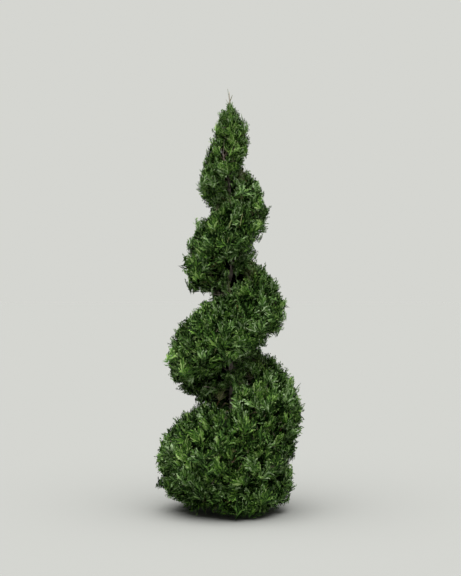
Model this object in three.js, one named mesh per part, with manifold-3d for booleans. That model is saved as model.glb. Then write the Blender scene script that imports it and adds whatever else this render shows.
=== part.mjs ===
// Spiral topiary: a clipped arborvitae whose foliage winds up the trunk in one right-handed ribbon.
// Millimetres, +Z up. The origin is the centre of the flat cut under the trunk, at ground level.
import * as THREE from "three";
import { mergeVertices } from "three/addons/utils/BufferGeometryUtils.js";
import Module from "manifold-3d";

const wasm = await Module();
wasm.setup();

// ---------- Driving dimensions ----------

const TREE_HEIGHT = 1505; // ground to the tip of the leader
const CROWN_TOP = 1455; // where the clipped outline closes
const CLEAR = 0.35; // running gap between solids that meet
const WELD = 0.002; // corners closer than this become one

// The clipped outline is a cone that rounds off at the top.
const OUTLINE = { radius: 266, atHeight: 378, slope: 0.181, roundFrom: 1170, roundPower: 2 };

// The ribbon is followed in turns: turn 0 faces -X, 0.25 the front (-Y), 0.5 +X and 0.75 the back.
const RIBBON = { startTurn: -0.75, endTurn: 3.75, centreAtZero: 162, rise: 430, riseLoss: 27 };
const HALF_THICKNESS = 0.455; // of the rise from one turn to the next
const SEGMENT_TURNS = 0.25;
const GROUND_GAP = 9; // lowest point of the foliage cores
const SKIRT = { topAtZero: 364, topSlope: 330 }; // the ribbon's first stretch, which rests on the ground
const LIFT = { fromTurn: 0.25, heights: [125, 206, 292] }; // underside where it lifts off, each quarter turn

// How far the clipped edges rise off the even winding, over and under the ribbon, [turn, rise].
const OVER_RISE = [[0, 6], [0.5, 19], [1, -8], [1.5, 5], [2, 8], [2.5, 0]];
const UNDER_RISE = [[1, -16], [1.5, 8], [2, -24], [2.5, 28], [3, -14], [3.5, 0]];

// The ribbon's start is clipped closer to the trunk. So is its end, where the underside rises to the tip.
const START = { closeness: 0.80, fullOver: [-0.6, 0] };
const END = { lift: 75, liftOver: [3.12, 3.45], highest: 1285, closeness: 0.78, closeOver: [3.15, 3.5] };

// The tip, which stands on the end of the ribbon, and the leader's side shoot above it.
const CAP_FLOOR = 1330;
const CAP = { radius: 60, top: 1462, sharpness: 0.8, coreInset: 18 };
const CAP_SPRAYS = { around: 6, up: 5 };
const SIDE_SHOOT = { height: 1462, length: 34, radius: 1.1, lean: 0.3 };

// How deep the groove between two turns runs in towards the trunk: 1 reaches it, 0 leaves no groove.
const GROOVE = { fadeIn: [-0.6, 0.05], shallow: 0.1, fadeOut: [3.3, 3.75] };
const SLACKNESS = { above: 0.58, below: 0.8 }; // 0 keeps the section square, 1 makes it round
const GROUND_ROUNDING = 0.6;
const BARE = { gap: 7, share: 0.04 }; // space round the trunk that holds no foliage

// The trunk.
const TRUNK = { foot: 17, tip: 0.9, flare: 13, flareHeight: 38, sides: 10, rings: 22, buttresses: 5 };
// Sideways wander of the trunk's centre line, [height, x, y].
const WANDER = [
  [0, 0, 0],
  [210, 3, 2],
  [432, 9, -3],
  [640, -2, 3],
  [796, -11, 0],
  [880, 6, -3],
  [1030, 3, 3],
  [1170, -5, 0],
  [1340, 1, -2],
  [1505, -4, 1],
];

// Boughs, and the stem that carries each on into its mass.
const BOUGH = { rootShare: 0.3, tipShare: 0.66, rise: 26, sides: 5, rings: 2, stemReach: 30 };

// Foliage cores stop short of the clipped outline by the length of the sprays.
const SPRAY_DEPTH = 30;
const SPRAY_DEPTH_SHARE = 0.2; // most of the outline's radius that the sprays may take
const CORE_SHRINK = 0.6; // of the spray depth, taken off the core's top and underside
const CORE_RIM_POINTS = 9;
const CORE_STEPS = 5;

// Sprays: toothed fans of scale leaves, folded along the middle, on three-sided twigs that may fork.
const SPRAY = { spacing: 65, twig: 26, twigRadius: 2.2, sunk: 10, lean: 0.75 };
const FORK = { chance: 0.2, turn: 0.9, size: 0.59, leastSize: 0.6 };
const FAN = { length: 58, width: 54, thickness: 2.6, fold: 0.42 };
const SPRAY_SLACK = 14; // how far sprays may stand past the clipped outline
const SPRAY_SEED = 20;

const GREEN = new THREE.MeshStandardMaterial({ color: 0x2f4a1e, roughness: 0.8, metalness: 0 });
const BARK = new THREE.MeshStandardMaterial({ color: 0x5a4a3e, roughness: 0.9, metalness: 0 });

// ---------- Small helpers ----------

const clamp = (x, low, high) => Math.min(high, Math.max(low, x));
const smooth = (x, from, to) => {
  const t = clamp((x - from) / (to - from), 0, 1);
  return t * t * (3 - 2 * t);
};
const lerp = THREE.MathUtils.lerp;

// Eases through a list of [place, value], and keeps its first and last value beyond its ends.
function ease(knots, x) {
  const next = knots.findIndex(([place]) => place > x);
  if (next <= 0) return next < 0 ? knots.at(-1)[1] : knots[0][1];
  const [[from, low], [to, high]] = [knots[next - 1], knots[next]];
  return lerp(low, high, smooth(x, from, to));
}

// Repeatable random numbers from 0 to 1.
function seeded(seed) {
  let state = seed >>> 0;
  return () => {
    state = (state + 0x6d2b79f5) >>> 0;
    let t = state;
    t = Math.imul(t ^ (t >>> 15), t | 1);
    t ^= t + Math.imul(t ^ (t >>> 7), t | 61);
    return ((t ^ (t >>> 14)) >>> 0) / 4294967296;
  };
}

// A closed three.js geometry as a manifold-3d solid.
function solidOf(geometry) {
  const bare = geometry.clone();
  bare.deleteAttribute("normal");
  bare.deleteAttribute("uv");
  const merged = mergeVertices(bare, 1e-4);
  return new wasm.Manifold(
    new wasm.Mesh({
      numProp: 3,
      vertProperties: new Float32Array(merged.attributes.position.array),
      triVerts: new Uint32Array(merged.index.array),
    }),
  );
}

// A manifold-3d solid as a three.js geometry. Sealed hollows are filled and loose scraps dropped.
function geometryOf(solid) {
  const whole = solid.decompose().reduce((a, b) => (b.volume() > a.volume() ? b : a));
  const mesh = whole.getMesh();
  const geometry = new THREE.BufferGeometry();
  geometry.setAttribute("position", new THREE.BufferAttribute(new Float32Array(mesh.vertProperties), 3));
  geometry.setIndex(new THREE.BufferAttribute(new Uint32Array(mesh.triVerts), 1));
  const merged = mergeVertices(geometry, WELD);
  const corners = merged.index.array;
  const kept = [];
  for (let i = 0; i < corners.length; i += 3) {
    const [a, b, c] = [corners[i], corners[i + 1], corners[i + 2]];
    if (a !== b && b !== c && c !== a) kept.push(a, b, c);
  }
  merged.setIndex(kept);
  return merged;
}

// True if every edge of a geometry is shared by just two faces.
function isClosed(geometry) {
  const uses = new Map();
  const corners = geometry.index.array;
  for (let i = 0; i < corners.length; i++) {
    const next = i % 3 === 2 ? i - 2 : i + 1;
    const edge = [corners[i], corners[next]].sort((a, b) => a - b).join();
    uses.set(edge, (uses.get(edge) ?? 0) + 1);
  }
  return [...uses.values()].every((count) => count === 2);
}

// Moves each vertex of a geometry to where a function of its old place says.
function reshape(geometry, place) {
  const position = geometry.attributes.position;
  const v = new THREE.Vector3();
  for (let i = 0; i < position.count; i++) {
    v.fromBufferAttribute(position, i);
    const p = place(v);
    position.setXYZ(i, p.x, p.y, p.z);
  }
  return geometry;
}

// ---------- The outline and the ribbon ----------

// Radius of the clipped outline at a height.
function outlineRadius(z) {
  const cone = OUTLINE.radius - OUTLINE.slope * (Math.max(z, OUTLINE.atHeight * 0.45) - OUTLINE.atHeight);
  const t = clamp((z - OUTLINE.roundFrom) / (CROWN_TOP - OUTLINE.roundFrom), 0, 1);
  return Math.min(cone, OUTLINE.radius) * Math.sqrt(Math.max(0, 1 - t ** OUTLINE.roundPower));
}

const angleAt = (turn) => Math.PI + turn * 2 * Math.PI;
const ribbonCentre = (turn) => RIBBON.centreAtZero + RIBBON.rise * turn - RIBBON.riseLoss * turn * turn;
const ribbonHalf = (turn) => HALF_THICKNESS * (RIBBON.rise - 2 * RIBBON.riseLoss * turn);

// Height of the ribbon's underside. It lies on the ground, then lifts off during the first turn.
function underside(turn) {
  if (turn < LIFT.fromTurn) return GROUND_GAP;
  const lift = END.lift * smooth(turn, ...END.liftOver);
  const even = (at) => ribbonCentre(at) - ribbonHalf(at) + ease(UNDER_RISE, at);
  if (turn >= 1) return Math.min(even(turn) + lift, END.highest);
  const heights = [...LIFT.heights, even(1)];
  const at = (turn - LIFT.fromTurn) / SEGMENT_TURNS;
  const i = clamp(Math.floor(at), 0, heights.length - 2);
  return lerp(heights[i], heights[i + 1], at - i);
}

// Height of the ribbon's upper side.
function upperside(turn) {
  if (turn < 0) return SKIRT.topAtZero + SKIRT.topSlope * turn;
  return Math.min(ribbonCentre(turn) + ribbonHalf(turn) + ease(OVER_RISE, turn), CAP_FLOOR - 2 * CLEAR);
}

const grooveAbove = (turn) =>
  lerp(GROOVE.shallow, 1, smooth(turn, ...GROOVE.fadeIn)) *
  lerp(1, GROOVE.shallow, smooth(turn + 1, ...GROOVE.fadeOut));
const grooveBelow = (turn) => (turn < LIFT.fromTurn ? GROUND_ROUNDING : grooveAbove(turn - 1));

// Share of the outline's radius that the ribbon keeps, which is less near both of its ends.
const closeness = (turn) =>
  lerp(START.closeness, 1, smooth(turn, ...START.fullOver)) *
  lerp(1, END.closeness, smooth(turn, ...END.closeOver));

// Share of the outline's radius that the ribbon's D-shaped section reaches at an angle round it.
function rounding(turn, section) {
  const groove = section < 0 ? grooveBelow(turn) : grooveAbove(turn);
  const slackness = section < 0 ? SLACKNESS.below : SLACKNESS.above;
  return closeness(turn) * (1 - groove * (1 - Math.cos(section) ** slackness));
}

// Depth of the sprays at a height, and the radius of the bare space round the trunk.
const sprayDepth = (z) => Math.min(SPRAY_DEPTH, SPRAY_DEPTH_SHARE * outlineRadius(z));
const bareRadius = (z) => trunkRadius(z) + BARE.gap + BARE.share * outlineRadius(z);

// ---------- The trunk ----------

const wander = new THREE.CatmullRomCurve3(WANDER.map(([z, x, y]) => new THREE.Vector3(x, y, z)));
const wanderPoints = wander.getPoints(240);

// Centre of the trunk at a height.
function trunkCentre(z) {
  const i = clamp(wanderPoints.findIndex((p) => p.z >= z), 1, wanderPoints.length - 1);
  const [a, b] = [wanderPoints[i - 1], wanderPoints[i]];
  const t = clamp((z - a.z) / (b.z - a.z), 0, 1);
  return new THREE.Vector3(lerp(a.x, b.x, t), lerp(a.y, b.y, t), z);
}

// Radius of the trunk at a height, with the flare at its foot.
function trunkRadius(z) {
  const share = clamp(1 - z / TREE_HEIGHT, 0, 1);
  const stem = TRUNK.tip + (TRUNK.foot - TRUNK.tip) * share ** 0.9;
  return stem + TRUNK.flare * Math.exp(-z / TRUNK.flareHeight);
}

// The trunk's solid, thicker all round by extra.
function trunkSolid(extra) {
  const cylinder = new THREE.CylinderGeometry(1, 1, 1, TRUNK.sides, TRUNK.rings);
  cylinder.translate(0, 0.5, 0);
  cylinder.rotateX(Math.PI / 2);
  reshape(cylinder, (v) => {
    const z = TREE_HEIGHT * clamp(v.z, 0, 1) ** 1.35;
    const angle = Math.atan2(v.y, v.x);
    const buttress = 1 + 0.2 * Math.exp(-z / TRUNK.flareHeight) * Math.cos(TRUNK.buttresses * angle);
    const radius = trunkRadius(z) * buttress + extra;
    const centre = trunkCentre(z);
    return new THREE.Vector3(centre.x + v.x * radius, centre.y + v.y * radius, z);
  });
  return solidOf(cylinder);
}

// ---------- Limbs ----------

// A tapering limb with flat ends along a curve, from share a to share b of it.
function limbSolid(curve, a, b, radiusA, radiusB, sides, rings) {
  const cylinder = new THREE.CylinderGeometry(1, 1, 1, sides, rings);
  cylinder.translate(0, 0.5, 0);
  const up = new THREE.Vector3(0, 1, 0);
  reshape(cylinder, (v) => {
    const t = lerp(a, b, v.y);
    const turned = new THREE.Quaternion().setFromUnitVectors(up, curve.getTangentAt(t));
    const radius = lerp(radiusA, radiusB, v.y);
    return new THREE.Vector3(v.x * radius, 0, v.z * radius).applyQuaternion(turned).add(curve.getPointAt(t));
  });
  return solidOf(cylinder);
}

// The curve of the limb that leaves the trunk at a height and carries the mass at an angle.
function limbCurve(angle, height) {
  const out = new THREE.Vector3(Math.cos(angle), Math.sin(angle), 0);
  const root = trunkCentre(height - BOUGH.rise);
  const inner = bareRadius(height);
  const entry = out.clone().multiplyScalar(inner).setZ(height);
  const end = out.clone().multiplyScalar(inner + BOUGH.stemReach).setZ(height + BOUGH.rise * 0.5);
  return new THREE.CatmullRomCurve3([root, entry, end]);
}

// ---------- Foliage ----------

// A point of a core's skin: turn along the ribbon, and the angle round its section, from -90 degrees on
// the underside through 0 on the outside to 90 degrees on top.
function ribbonSkin(turn, section) {
  const [low, high] = [underside(turn), upperside(turn)];
  const middle = (low + high) / 2;
  const shrink = CORE_SHRINK * sprayDepth(middle);
  const onGround = turn < LIFT.fromTurn || grooveBelow(turn) < 0.5;
  const underFree = onGround ? CLEAR : shrink * clamp(grooveBelow(turn), 0.2, 1);
  const overFree = grooveAbove(turn) < 0.5 ? CLEAR : shrink * grooveAbove(turn);
  const half = section < 0 ? middle - (low + underFree) : high - overFree - middle;
  const z = middle + half * Math.sin(section);
  const full = outlineRadius(z) - sprayDepth(z);
  const bump = 5 * Math.sin(5 * angleAt(turn) + z / 31) * Math.cos(z / 47 + 2 * section);
  const radius = Math.max(bareRadius(z) + 2, (full + bump * Math.cos(section)) * rounding(turn, section));
  const angle = angleAt(turn);
  return new THREE.Vector3(radius * Math.cos(angle), radius * Math.sin(angle), z);
}

// The core of one stretch of the ribbon: its D-shaped section extruded, then wound round the trunk.
function ribbonCore(from, to) {
  const rim = [];
  const widest = (80 * Math.PI) / 180;
  for (let i = 0; i < CORE_RIM_POINTS; i++) {
    const section = lerp(-widest, widest, i / (CORE_RIM_POINTS - 1));
    rim.push(new THREE.Vector2(Math.cos(section), Math.sin(section)));
  }
  const shape = new THREE.Shape([new THREE.Vector2(0, -1), ...rim, new THREE.Vector2(0, 1)]);
  const block = new THREE.ExtrudeGeometry(shape, { depth: 1, steps: CORE_STEPS, bevelEnabled: false });
  reshape(block, (v) => {
    const turn = clamp(lerp(to, from, v.z), from + 1e-6, to - 1e-6);
    const section = Math.atan2(v.y, v.x);
    const p = ribbonSkin(turn, clamp(section, -widest, widest));
    if (v.x < 1e-6) {
      const inner = bareRadius(p.z);
      p.setX(inner * Math.cos(angleAt(turn))).setY(inner * Math.sin(angleAt(turn)));
    }
    const side = v.z < 1e-6 ? -CLEAR : v.z > 1 - 1e-6 ? CLEAR : 0;
    p.x -= side * Math.sin(angleAt(turn));
    p.y += side * Math.cos(angleAt(turn));
    return p;
  });
  return solidOf(block);
}

// A toothed fan of scale leaves, folded along its middle, where it is thickest.
function fanGeometry(size) {
  const rim = [
    [0, 0],
    [0.38, 0.5],
    [0.5, 0.22],
    [0.82, 0.34],
    [0.76, 0.1],
    [1, 0],
    [0.7, -0.14],
    [0.74, -0.42],
    [0.46, -0.2],
    [0.3, -0.42],
  ].map(([x, y]) => new THREE.Vector3(x * FAN.length, y * FAN.width, Math.abs(y) * FAN.width * FAN.fold));
  const [heart, half] = [FAN.length * 0.45, FAN.thickness / 2];
  const corners = [...rim, new THREE.Vector3(heart, 0, half), new THREE.Vector3(heart, 0, -half)];
  const [over, under] = [rim.length, rim.length + 1];
  const index = [];
  rim.forEach((_, i) => {
    const next = (i + 1) % rim.length;
    index.push(next, i, over, i, next, under);
  });
  const geometry = new THREE.BufferGeometry().setFromPoints(corners);
  geometry.setIndex(index);
  return geometry.scale(size, size, 1);
}

// A matrix that puts a thing's X along a direction and its Z near a wanted normal, at a place.
function placing(at, along, wanted) {
  const x = along.clone().normalize();
  const y = wanted.clone().cross(x).normalize();
  const z = x.clone().cross(y);
  return new THREE.Matrix4().makeBasis(x, y, z).setPosition(at);
}

// One spray: a twig that ends in a fan, and now and then forks to a smaller one.
function sprayPieces(root, along, flat, size, random) {
  const length = SPRAY.sunk + size * SPRAY.twig;
  const twig = new THREE.ConeGeometry(SPRAY.twigRadius, length, 3, 1);
  twig.translate(0, length / 2, 0);
  twig.rotateZ(-Math.PI / 2);
  twig.applyMatrix4(placing(root, along, flat));
  const tip = root.clone().addScaledVector(along, length * 0.45);
  const fan = fanGeometry(size).applyMatrix4(placing(tip, along, flat));
  if (size < FORK.leastSize || random() > FORK.chance) return [twig, fan];
  const turned = along.clone().applyAxisAngle(flat, FORK.turn * (random() < 0.5 ? 1 : -1));
  const level = flat.clone().applyAxisAngle(along, (random() - 0.5) * Math.PI);
  const start = root.clone().addScaledVector(along, SPRAY.sunk * 0.8);
  return [twig, fan, ...sprayPieces(start, turned, level, size * FORK.size, random)];
}

// True if every corner and edge middle of a geometry lies where keeps says.
function staysIn(geometry, keeps) {
  const position = geometry.attributes.position;
  const [a, b, middle] = [new THREE.Vector3(), new THREE.Vector3(), new THREE.Vector3()];
  for (let i = 0; i < position.count; i++) {
    a.fromBufferAttribute(position, i);
    b.fromBufferAttribute(position, (i + 1) % position.count);
    middle.addVectors(a, b).multiplyScalar(0.5);
    if (!keeps(a) || !keeps(middle)) return false;
  }
  return true;
}

// The sprays that stand out of a skin given by a function of two shares from 0 to 1.
function spraysOn(skin, counts, keeps, random) {
  const pieces = [];
  const step = 1e-3;
  for (let i = 0; i < counts[0]; i++)
    for (let j = 0; j < counts[1]; j++) {
      const a = clamp((i + 0.5 + 0.5 * (random() - 0.5) + (j % 2 ? 0.2 : -0.2)) / counts[0], 0.03, 0.97);
      const b = clamp((j + 0.5 + 0.5 * (random() - 0.5)) / counts[1], 0.02, 0.98);
      const spot = skin(a, b);
      const alongA = skin(a + step, b).sub(skin(a - step, b)).normalize();
      const alongB = skin(a, b + step).sub(skin(a, b - step)).normalize();
      const normal = alongA.clone().cross(alongB).normalize();
      const size = clamp(sprayDepth(spot.z) / SPRAY_DEPTH, 0.55, 1) * lerp(0.86, 1.12, random());
      const along = normal.clone();
      along.z += SPRAY.lean * (0.6 + 0.8 * random());
      along.addScaledVector(alongA, 0.7 * (random() - 0.5));
      along.normalize();
      const root = spot.clone().addScaledVector(normal, -SPRAY.sunk);
      const sideways = new THREE.Vector3(-spot.y, spot.x, 0).normalize();
      for (let attempt = 0; attempt < 4; attempt++) {
        const twist = (random() - 0.5) * Math.PI * (attempt < 2 ? 1 : 0.25);
        const flat = sideways.clone().applyAxisAngle(along, twist);
        flat.addScaledVector(along, -flat.dot(along)).normalize();
        const made = sprayPieces(root, along, flat, size * (1 - 0.12 * attempt), random);
        if (made.every((piece) => staysIn(piece, keeps))) {
          pieces.push(...made);
          break;
        }
      }
    }
  return pieces;
}

// True for points that a stretch of the ribbon keeps to itself.
function ribbonSpace(from, to) {
  const middleTurn = (from + to) / 2;
  return (p) => {
    const radius = Math.hypot(p.x, p.y);
    let turn = (Math.atan2(p.y, p.x) - Math.PI) / (2 * Math.PI);
    turn += Math.round(middleTurn - turn);
    const margin = (2 * CLEAR) / (2 * Math.PI * radius);
    if (turn < from + margin || turn > to - margin || radius < bareRadius(p.z) + 1) return false;
    const [low, high] = [Math.max(2, underside(turn)), upperside(turn)];
    const share = (2 * p.z - low - high) / (high - low);
    if (Math.abs(share) >= 1) return false;
    return radius < outlineRadius(p.z) * rounding(turn, Math.asin(share)) + SPRAY_SLACK;
  };
}

// Radius of the cap's clipped surface at a height.
function capRadius(z) {
  const t = clamp((z - CAP_FLOOR) / (CAP.top - CAP_FLOOR), 0, 1);
  return CAP.radius * (1 - t * t) ** CAP.sharpness;
}

// A point of the cap's skin, by shares round the trunk and up it.
function capSkin(a, b) {
  const z = lerp(CAP_FLOOR + CLEAR, CAP.top - CAP.coreInset, b);
  const radius = Math.max(trunkRadius(z) + 2, capRadius(z) * (1 - SPRAY_DEPTH_SHARE));
  const angle = a * 2 * Math.PI;
  return new THREE.Vector3(radius * Math.cos(angle), radius * Math.sin(angle), z);
}

// The cap's core, turned on the axis and cut clear of the trunk that runs up through it.
function capCore() {
  const profile = [];
  for (let i = 0; i <= CORE_STEPS; i++) {
    const p = capSkin(0, i / CORE_STEPS);
    profile.push(new THREE.Vector2(p.x, p.z));
  }
  const ends = [profile[0], profile.at(-1)].map((p) => new THREE.Vector2(0, p.y));
  const lathe = new THREE.LatheGeometry([ends[0], ...profile, ends[1]], 10);
  lathe.rotateX(Math.PI / 2);
  return solidOf(lathe).subtract(trunkForCuts);
}

// True for points that the cap keeps to itself.
function capSpace(p) {
  const radius = Math.hypot(p.x, p.y);
  const inside = radius > trunkRadius(p.z) + 7 && radius < capRadius(p.z) + SPRAY_SLACK;
  return inside && p.z > CAP_FLOOR + CLEAR && p.z < TREE_HEIGHT - 10;
}

// Fuses a core, its stem and its sprays into one solid.
const fuse = (solids) => wasm.Manifold.union(solids);

// How many sprays of a given spacing fit along a length.
const countAlong = (length, spacing, least) => Math.max(least, Math.round(length / spacing));

const tree = new THREE.Group();
const trunkForCuts = trunkSolid(CLEAR);

function addMesh(name, geometry, material) {
  const mesh = new THREE.Mesh(geometry, material);
  mesh.name = name;
  tree.add(mesh);
}

// Adds a mass: its core and stem with the sprays fused on. A seed whose sprays graze each other so that
// the skin pinches shut along an edge is passed over for the next one.
function addMass(name, solids, spraysFor, seed) {
  let geometry;
  do {
    geometry = geometryOf(fuse([...solids, ...spraysFor(seeded(seed)).map(solidOf)]));
    seed += 100;
  } while (!isClosed(geometry));
  addMesh(name, geometry, GREEN);
}

// A bough from the trunk to a mass, and the stem that carries it on inside that mass.
function boughAndStem(angle, height) {
  const curve = limbCurve(angle, height);
  const length = curve.getLength();
  const inner = bareRadius(height);
  let meet = 0;
  while (Math.hypot(curve.getPointAt(meet).x, curve.getPointAt(meet).y) < inner - 4) meet += 0.01;
  const thick = trunkRadius(height) * BOUGH.rootShare;
  const thin = thick * BOUGH.tipShare;
  const bough = limbSolid(curve, 0, meet, thick, thin, BOUGH.sides, BOUGH.rings).subtract(trunkForCuts);
  const stem = limbSolid(curve, meet + CLEAR / length, 1, thin, thin * 0.6, BOUGH.sides, BOUGH.rings);
  return { bough, stem };
}

// ---------- The plant ----------

// The leader's side shoot, a slender cone that leans away from the tip.
function sideShoot() {
  const cone = new THREE.ConeGeometry(SIDE_SHOOT.radius, SIDE_SHOOT.length, 4, 1);
  cone.translate(0, SIDE_SHOOT.length / 2, 0);
  cone.rotateX(Math.PI / 2);
  cone.rotateY(SIDE_SHOOT.lean);
  const root = trunkCentre(SIDE_SHOOT.height);
  cone.translate(root.x, root.y, root.z);
  return solidOf(cone);
}

addMesh("trunk", geometryOf(fuse([trunkSolid(0), sideShoot()])), BARK);

const segments = Math.round((RIBBON.endTurn - RIBBON.startTurn) / SEGMENT_TURNS);
for (let n = 0; n < segments; n++) {
  const label = String(n + 1).padStart(2, "0");
  const from = RIBBON.startTurn + n * SEGMENT_TURNS;
  const to = from + SEGMENT_TURNS;
  const middleTurn = (from + to) / 2;
  const height = (underside(middleTurn) + upperside(middleTurn)) / 2;
  const { bough, stem } = boughAndStem(angleAt(middleTurn), height);
  const widest = (84 * Math.PI) / 180;
  const skin = (a, b) => ribbonSkin(lerp(from, to, a), lerp(-widest, widest, b));
  const depth = outlineRadius(height) - sprayDepth(height);
  const tall = upperside(middleTurn) - underside(middleTurn);
  const spacing = SPRAY.spacing * clamp(sprayDepth(height) / SPRAY_DEPTH, 0.6, 1);
  const around = countAlong(0.8 * depth * SEGMENT_TURNS * 2 * Math.PI, spacing, 2);
  const across = countAlong(tall * 0.7 + depth, spacing, 3);
  const spraysFor = (random) => spraysOn(skin, [around, across], ribbonSpace(from, to), random);
  addMesh(`bough_${label}`, geometryOf(bough), BARK);
  addMass(`foliage_${label}`, [ribbonCore(from, to), stem], spraysFor, SPRAY_SEED + n);
}

const capCounts = [CAP_SPRAYS.around, CAP_SPRAYS.up];
addMass("foliage_tip", [capCore()], (random) => spraysOn(capSkin, capCounts, capSpace, random), SPRAY_SEED);

export default tree;
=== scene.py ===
"""Spiral topiary: a clipped arborvitae with bark on its limbs, and twigs and sprays of scale leaves.

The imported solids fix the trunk, the boughs and the room that each mass of foliage has. This script grows
the real plant in that room: limbs with bark, twigs that fork by the same rule, and fans of scale leaves.
"""

import logging
import math
from collections.abc import Callable, Sequence
from dataclasses import dataclass
from enum import Enum
from functools import partial

import bmesh
import bpy
import numpy as np
from mathutils import Matrix, Vector, noise

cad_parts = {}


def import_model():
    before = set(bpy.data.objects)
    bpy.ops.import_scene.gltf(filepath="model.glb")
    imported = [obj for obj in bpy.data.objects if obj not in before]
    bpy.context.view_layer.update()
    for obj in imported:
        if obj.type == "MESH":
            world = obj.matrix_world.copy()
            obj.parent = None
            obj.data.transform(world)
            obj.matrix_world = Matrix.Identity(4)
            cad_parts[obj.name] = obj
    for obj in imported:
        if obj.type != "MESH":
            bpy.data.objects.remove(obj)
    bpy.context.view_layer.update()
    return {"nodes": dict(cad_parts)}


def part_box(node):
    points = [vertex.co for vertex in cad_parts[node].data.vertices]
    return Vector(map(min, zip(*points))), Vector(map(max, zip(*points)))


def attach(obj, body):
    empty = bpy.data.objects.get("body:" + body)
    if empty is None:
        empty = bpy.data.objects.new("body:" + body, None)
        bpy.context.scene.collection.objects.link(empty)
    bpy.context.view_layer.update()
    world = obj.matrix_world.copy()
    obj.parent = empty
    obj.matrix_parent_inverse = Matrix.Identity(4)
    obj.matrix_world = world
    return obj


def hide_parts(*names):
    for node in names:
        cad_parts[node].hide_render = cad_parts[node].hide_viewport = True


LOG = logging.getLogger("spiral_topiary")
BODY = "root"
SEED = 41
TONE_STEPS = 8  # greens in each of the two families
LOWEST_STEP = -2  # how far a shoot goes below its spray's green
TURN = 2 * math.pi
HAIR = 1e-6  # keeps a stretch's skin clear of its neighbours'
PIECE_LIMIT = 185_000  # most triangles in one piece
BLADE_FOLD = 0.32  # of a blade's width
BLADE_WAIST = 0.12  # from a blade's middle to its widest place, of its length
UP = np.array([0.0, 0.0, 1.0])

Pair = tuple[float, float]
Triple = tuple[float, float, float]


class Draw(Enum):
    """What each run of random numbers is for."""

    MASS = 1
    SNAGS = 2
    STEMS = 3
    OPENINGS = 4
    SPRAYS = 900
    FILLS = 950


# ---------------------------------------------------------------- colours and finishes


class Tone(Enum):
    """A plain colour that is dealt out on a joined piece."""

    @property
    def place(self) -> int:
        """Its place among the piece's materials."""
        return list(type(self)).index(self)


class LeafTone(Tone):
    """Plain greens of the scale leaves, from near-black for the shaded inside of the crown to pale for the
    clipped tips: the steps are partly painted shade and painted light, partly the leaves' own variety.

    The second eight are the same steps for the year's fresh growth.
    """

    # SHADE and DEEP are near-black painted shade, for the sprays inside the crown and in the gaps between
    # tufts
    SHADE = (0.003, 0.010, 0.001)
    DEEP = (0.010, 0.030, 0.003)
    DARK = (0.023, 0.066, 0.009)
    MIDDLE = (0.049, 0.120, 0.018)
    FRESH = (0.086, 0.190, 0.031)
    BRIGHT = (0.148, 0.282, 0.060)
    LIGHT = (0.235, 0.385, 0.125)
    PALE = (0.350, 0.485, 0.245)
    FRESH_SHADE = (0.003, 0.011, 0.001)
    FRESH_DEEP = (0.010, 0.034, 0.003)
    FRESH_DARK = (0.024, 0.075, 0.008)
    FRESH_MIDDLE = (0.052, 0.135, 0.015)
    FRESH_GREEN = (0.088, 0.212, 0.023)
    FRESH_BRIGHT = (0.145, 0.305, 0.040)
    FRESH_LIGHT = (0.230, 0.405, 0.078)
    FRESH_PALE = (0.340, 0.500, 0.160)


class StemTone(Tone):
    """Plain colours of the twigs, from old wood to the green stems of the sprays."""

    WOOD = (0.120, 0.085, 0.060)
    GREY = (0.235, 0.200, 0.165)
    RUSSET = (0.150, 0.080, 0.036)
    OLIVE = (0.130, 0.160, 0.045)
    YELLOWED = (0.300, 0.340, 0.130)
    # pale grey-brown of bare twigs, lightened further as painted light for twigs that stand in the
    # openings' shade
    BARE_AND_PAINTED_LIGHT = (0.460, 0.400, 0.340)


Mix = tuple[tuple[Tone, float], ...]


class Socket:
    """Wraps a shader socket, so that arithmetic on it adds Math nodes."""

    def __init__(self, nodes: "Nodes", output: bpy.types.NodeSocket) -> None:
        """Keeps the nodes being built and one output socket among them."""
        self.nodes = nodes
        self.output = output

    def _math(self, operation: str, *values: "Socket | float") -> "Socket":
        """Adds one Math node and returns its result."""
        inputs = {place: value for place, value in enumerate(values)}
        return self.nodes.node("ShaderNodeMath", {"operation": operation}, inputs, "Value")

    def __rsub__(self, other: float) -> "Socket":
        """A number less this value."""
        return self._math("SUBTRACT", other, self)

    def __mul__(self, other: "Socket | float") -> "Socket":
        """The product of the two."""
        return self._math("MULTIPLY", self, other)

    __rmul__ = __mul__

    def between(self, low: float, high: float) -> "Socket":
        """Stretches the value so that low gives 0 and high gives 1, and cuts off the rest.

        Args:
            low: The value that gives 0.
            high: The value that gives 1.

        Returns:
            The stretched value.
        """
        settings = {"interpolation_type": "SMOOTHSTEP"}
        inputs = {"Value": self, "From Min": low, "From Max": high, "To Min": 0.0, "To Max": 1.0}
        return self.nodes.node("ShaderNodeMapRange", settings, inputs, "Result")


class Nodes:
    """A node tree that is built node by node."""

    def __init__(self, tree: bpy.types.NodeTree) -> None:
        """Keeps the tree."""
        self.tree = tree

    def feed(self, socket: bpy.types.NodeSocket, value: "Socket | float | tuple[float, ...]") -> None:
        """Links an input to a wrapped socket, or sets it to a value.

        Args:
            socket: The input.
            value: What it gets.
        """
        if isinstance(value, Socket):
            self.tree.links.new(value.output, socket)
        else:
            socket.default_value = value

    def node(self, kind: str, settings: dict, inputs: dict, output: str | int) -> Socket:
        """Adds one node.

        Args:
            kind: The node's type.
            settings: Its properties, which are set before its sockets.
            inputs: Values or sockets by input name or place.
            output: Name or place of the output that is returned.

        Returns:
            The wrapped output socket.
        """
        made = self.tree.nodes.new(kind)
        for key, value in settings.items():
            setattr(made, key, value)
        for key, value in inputs.items():
            self.feed(made.inputs[key], value)
        return Socket(self, made.outputs[output])


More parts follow.
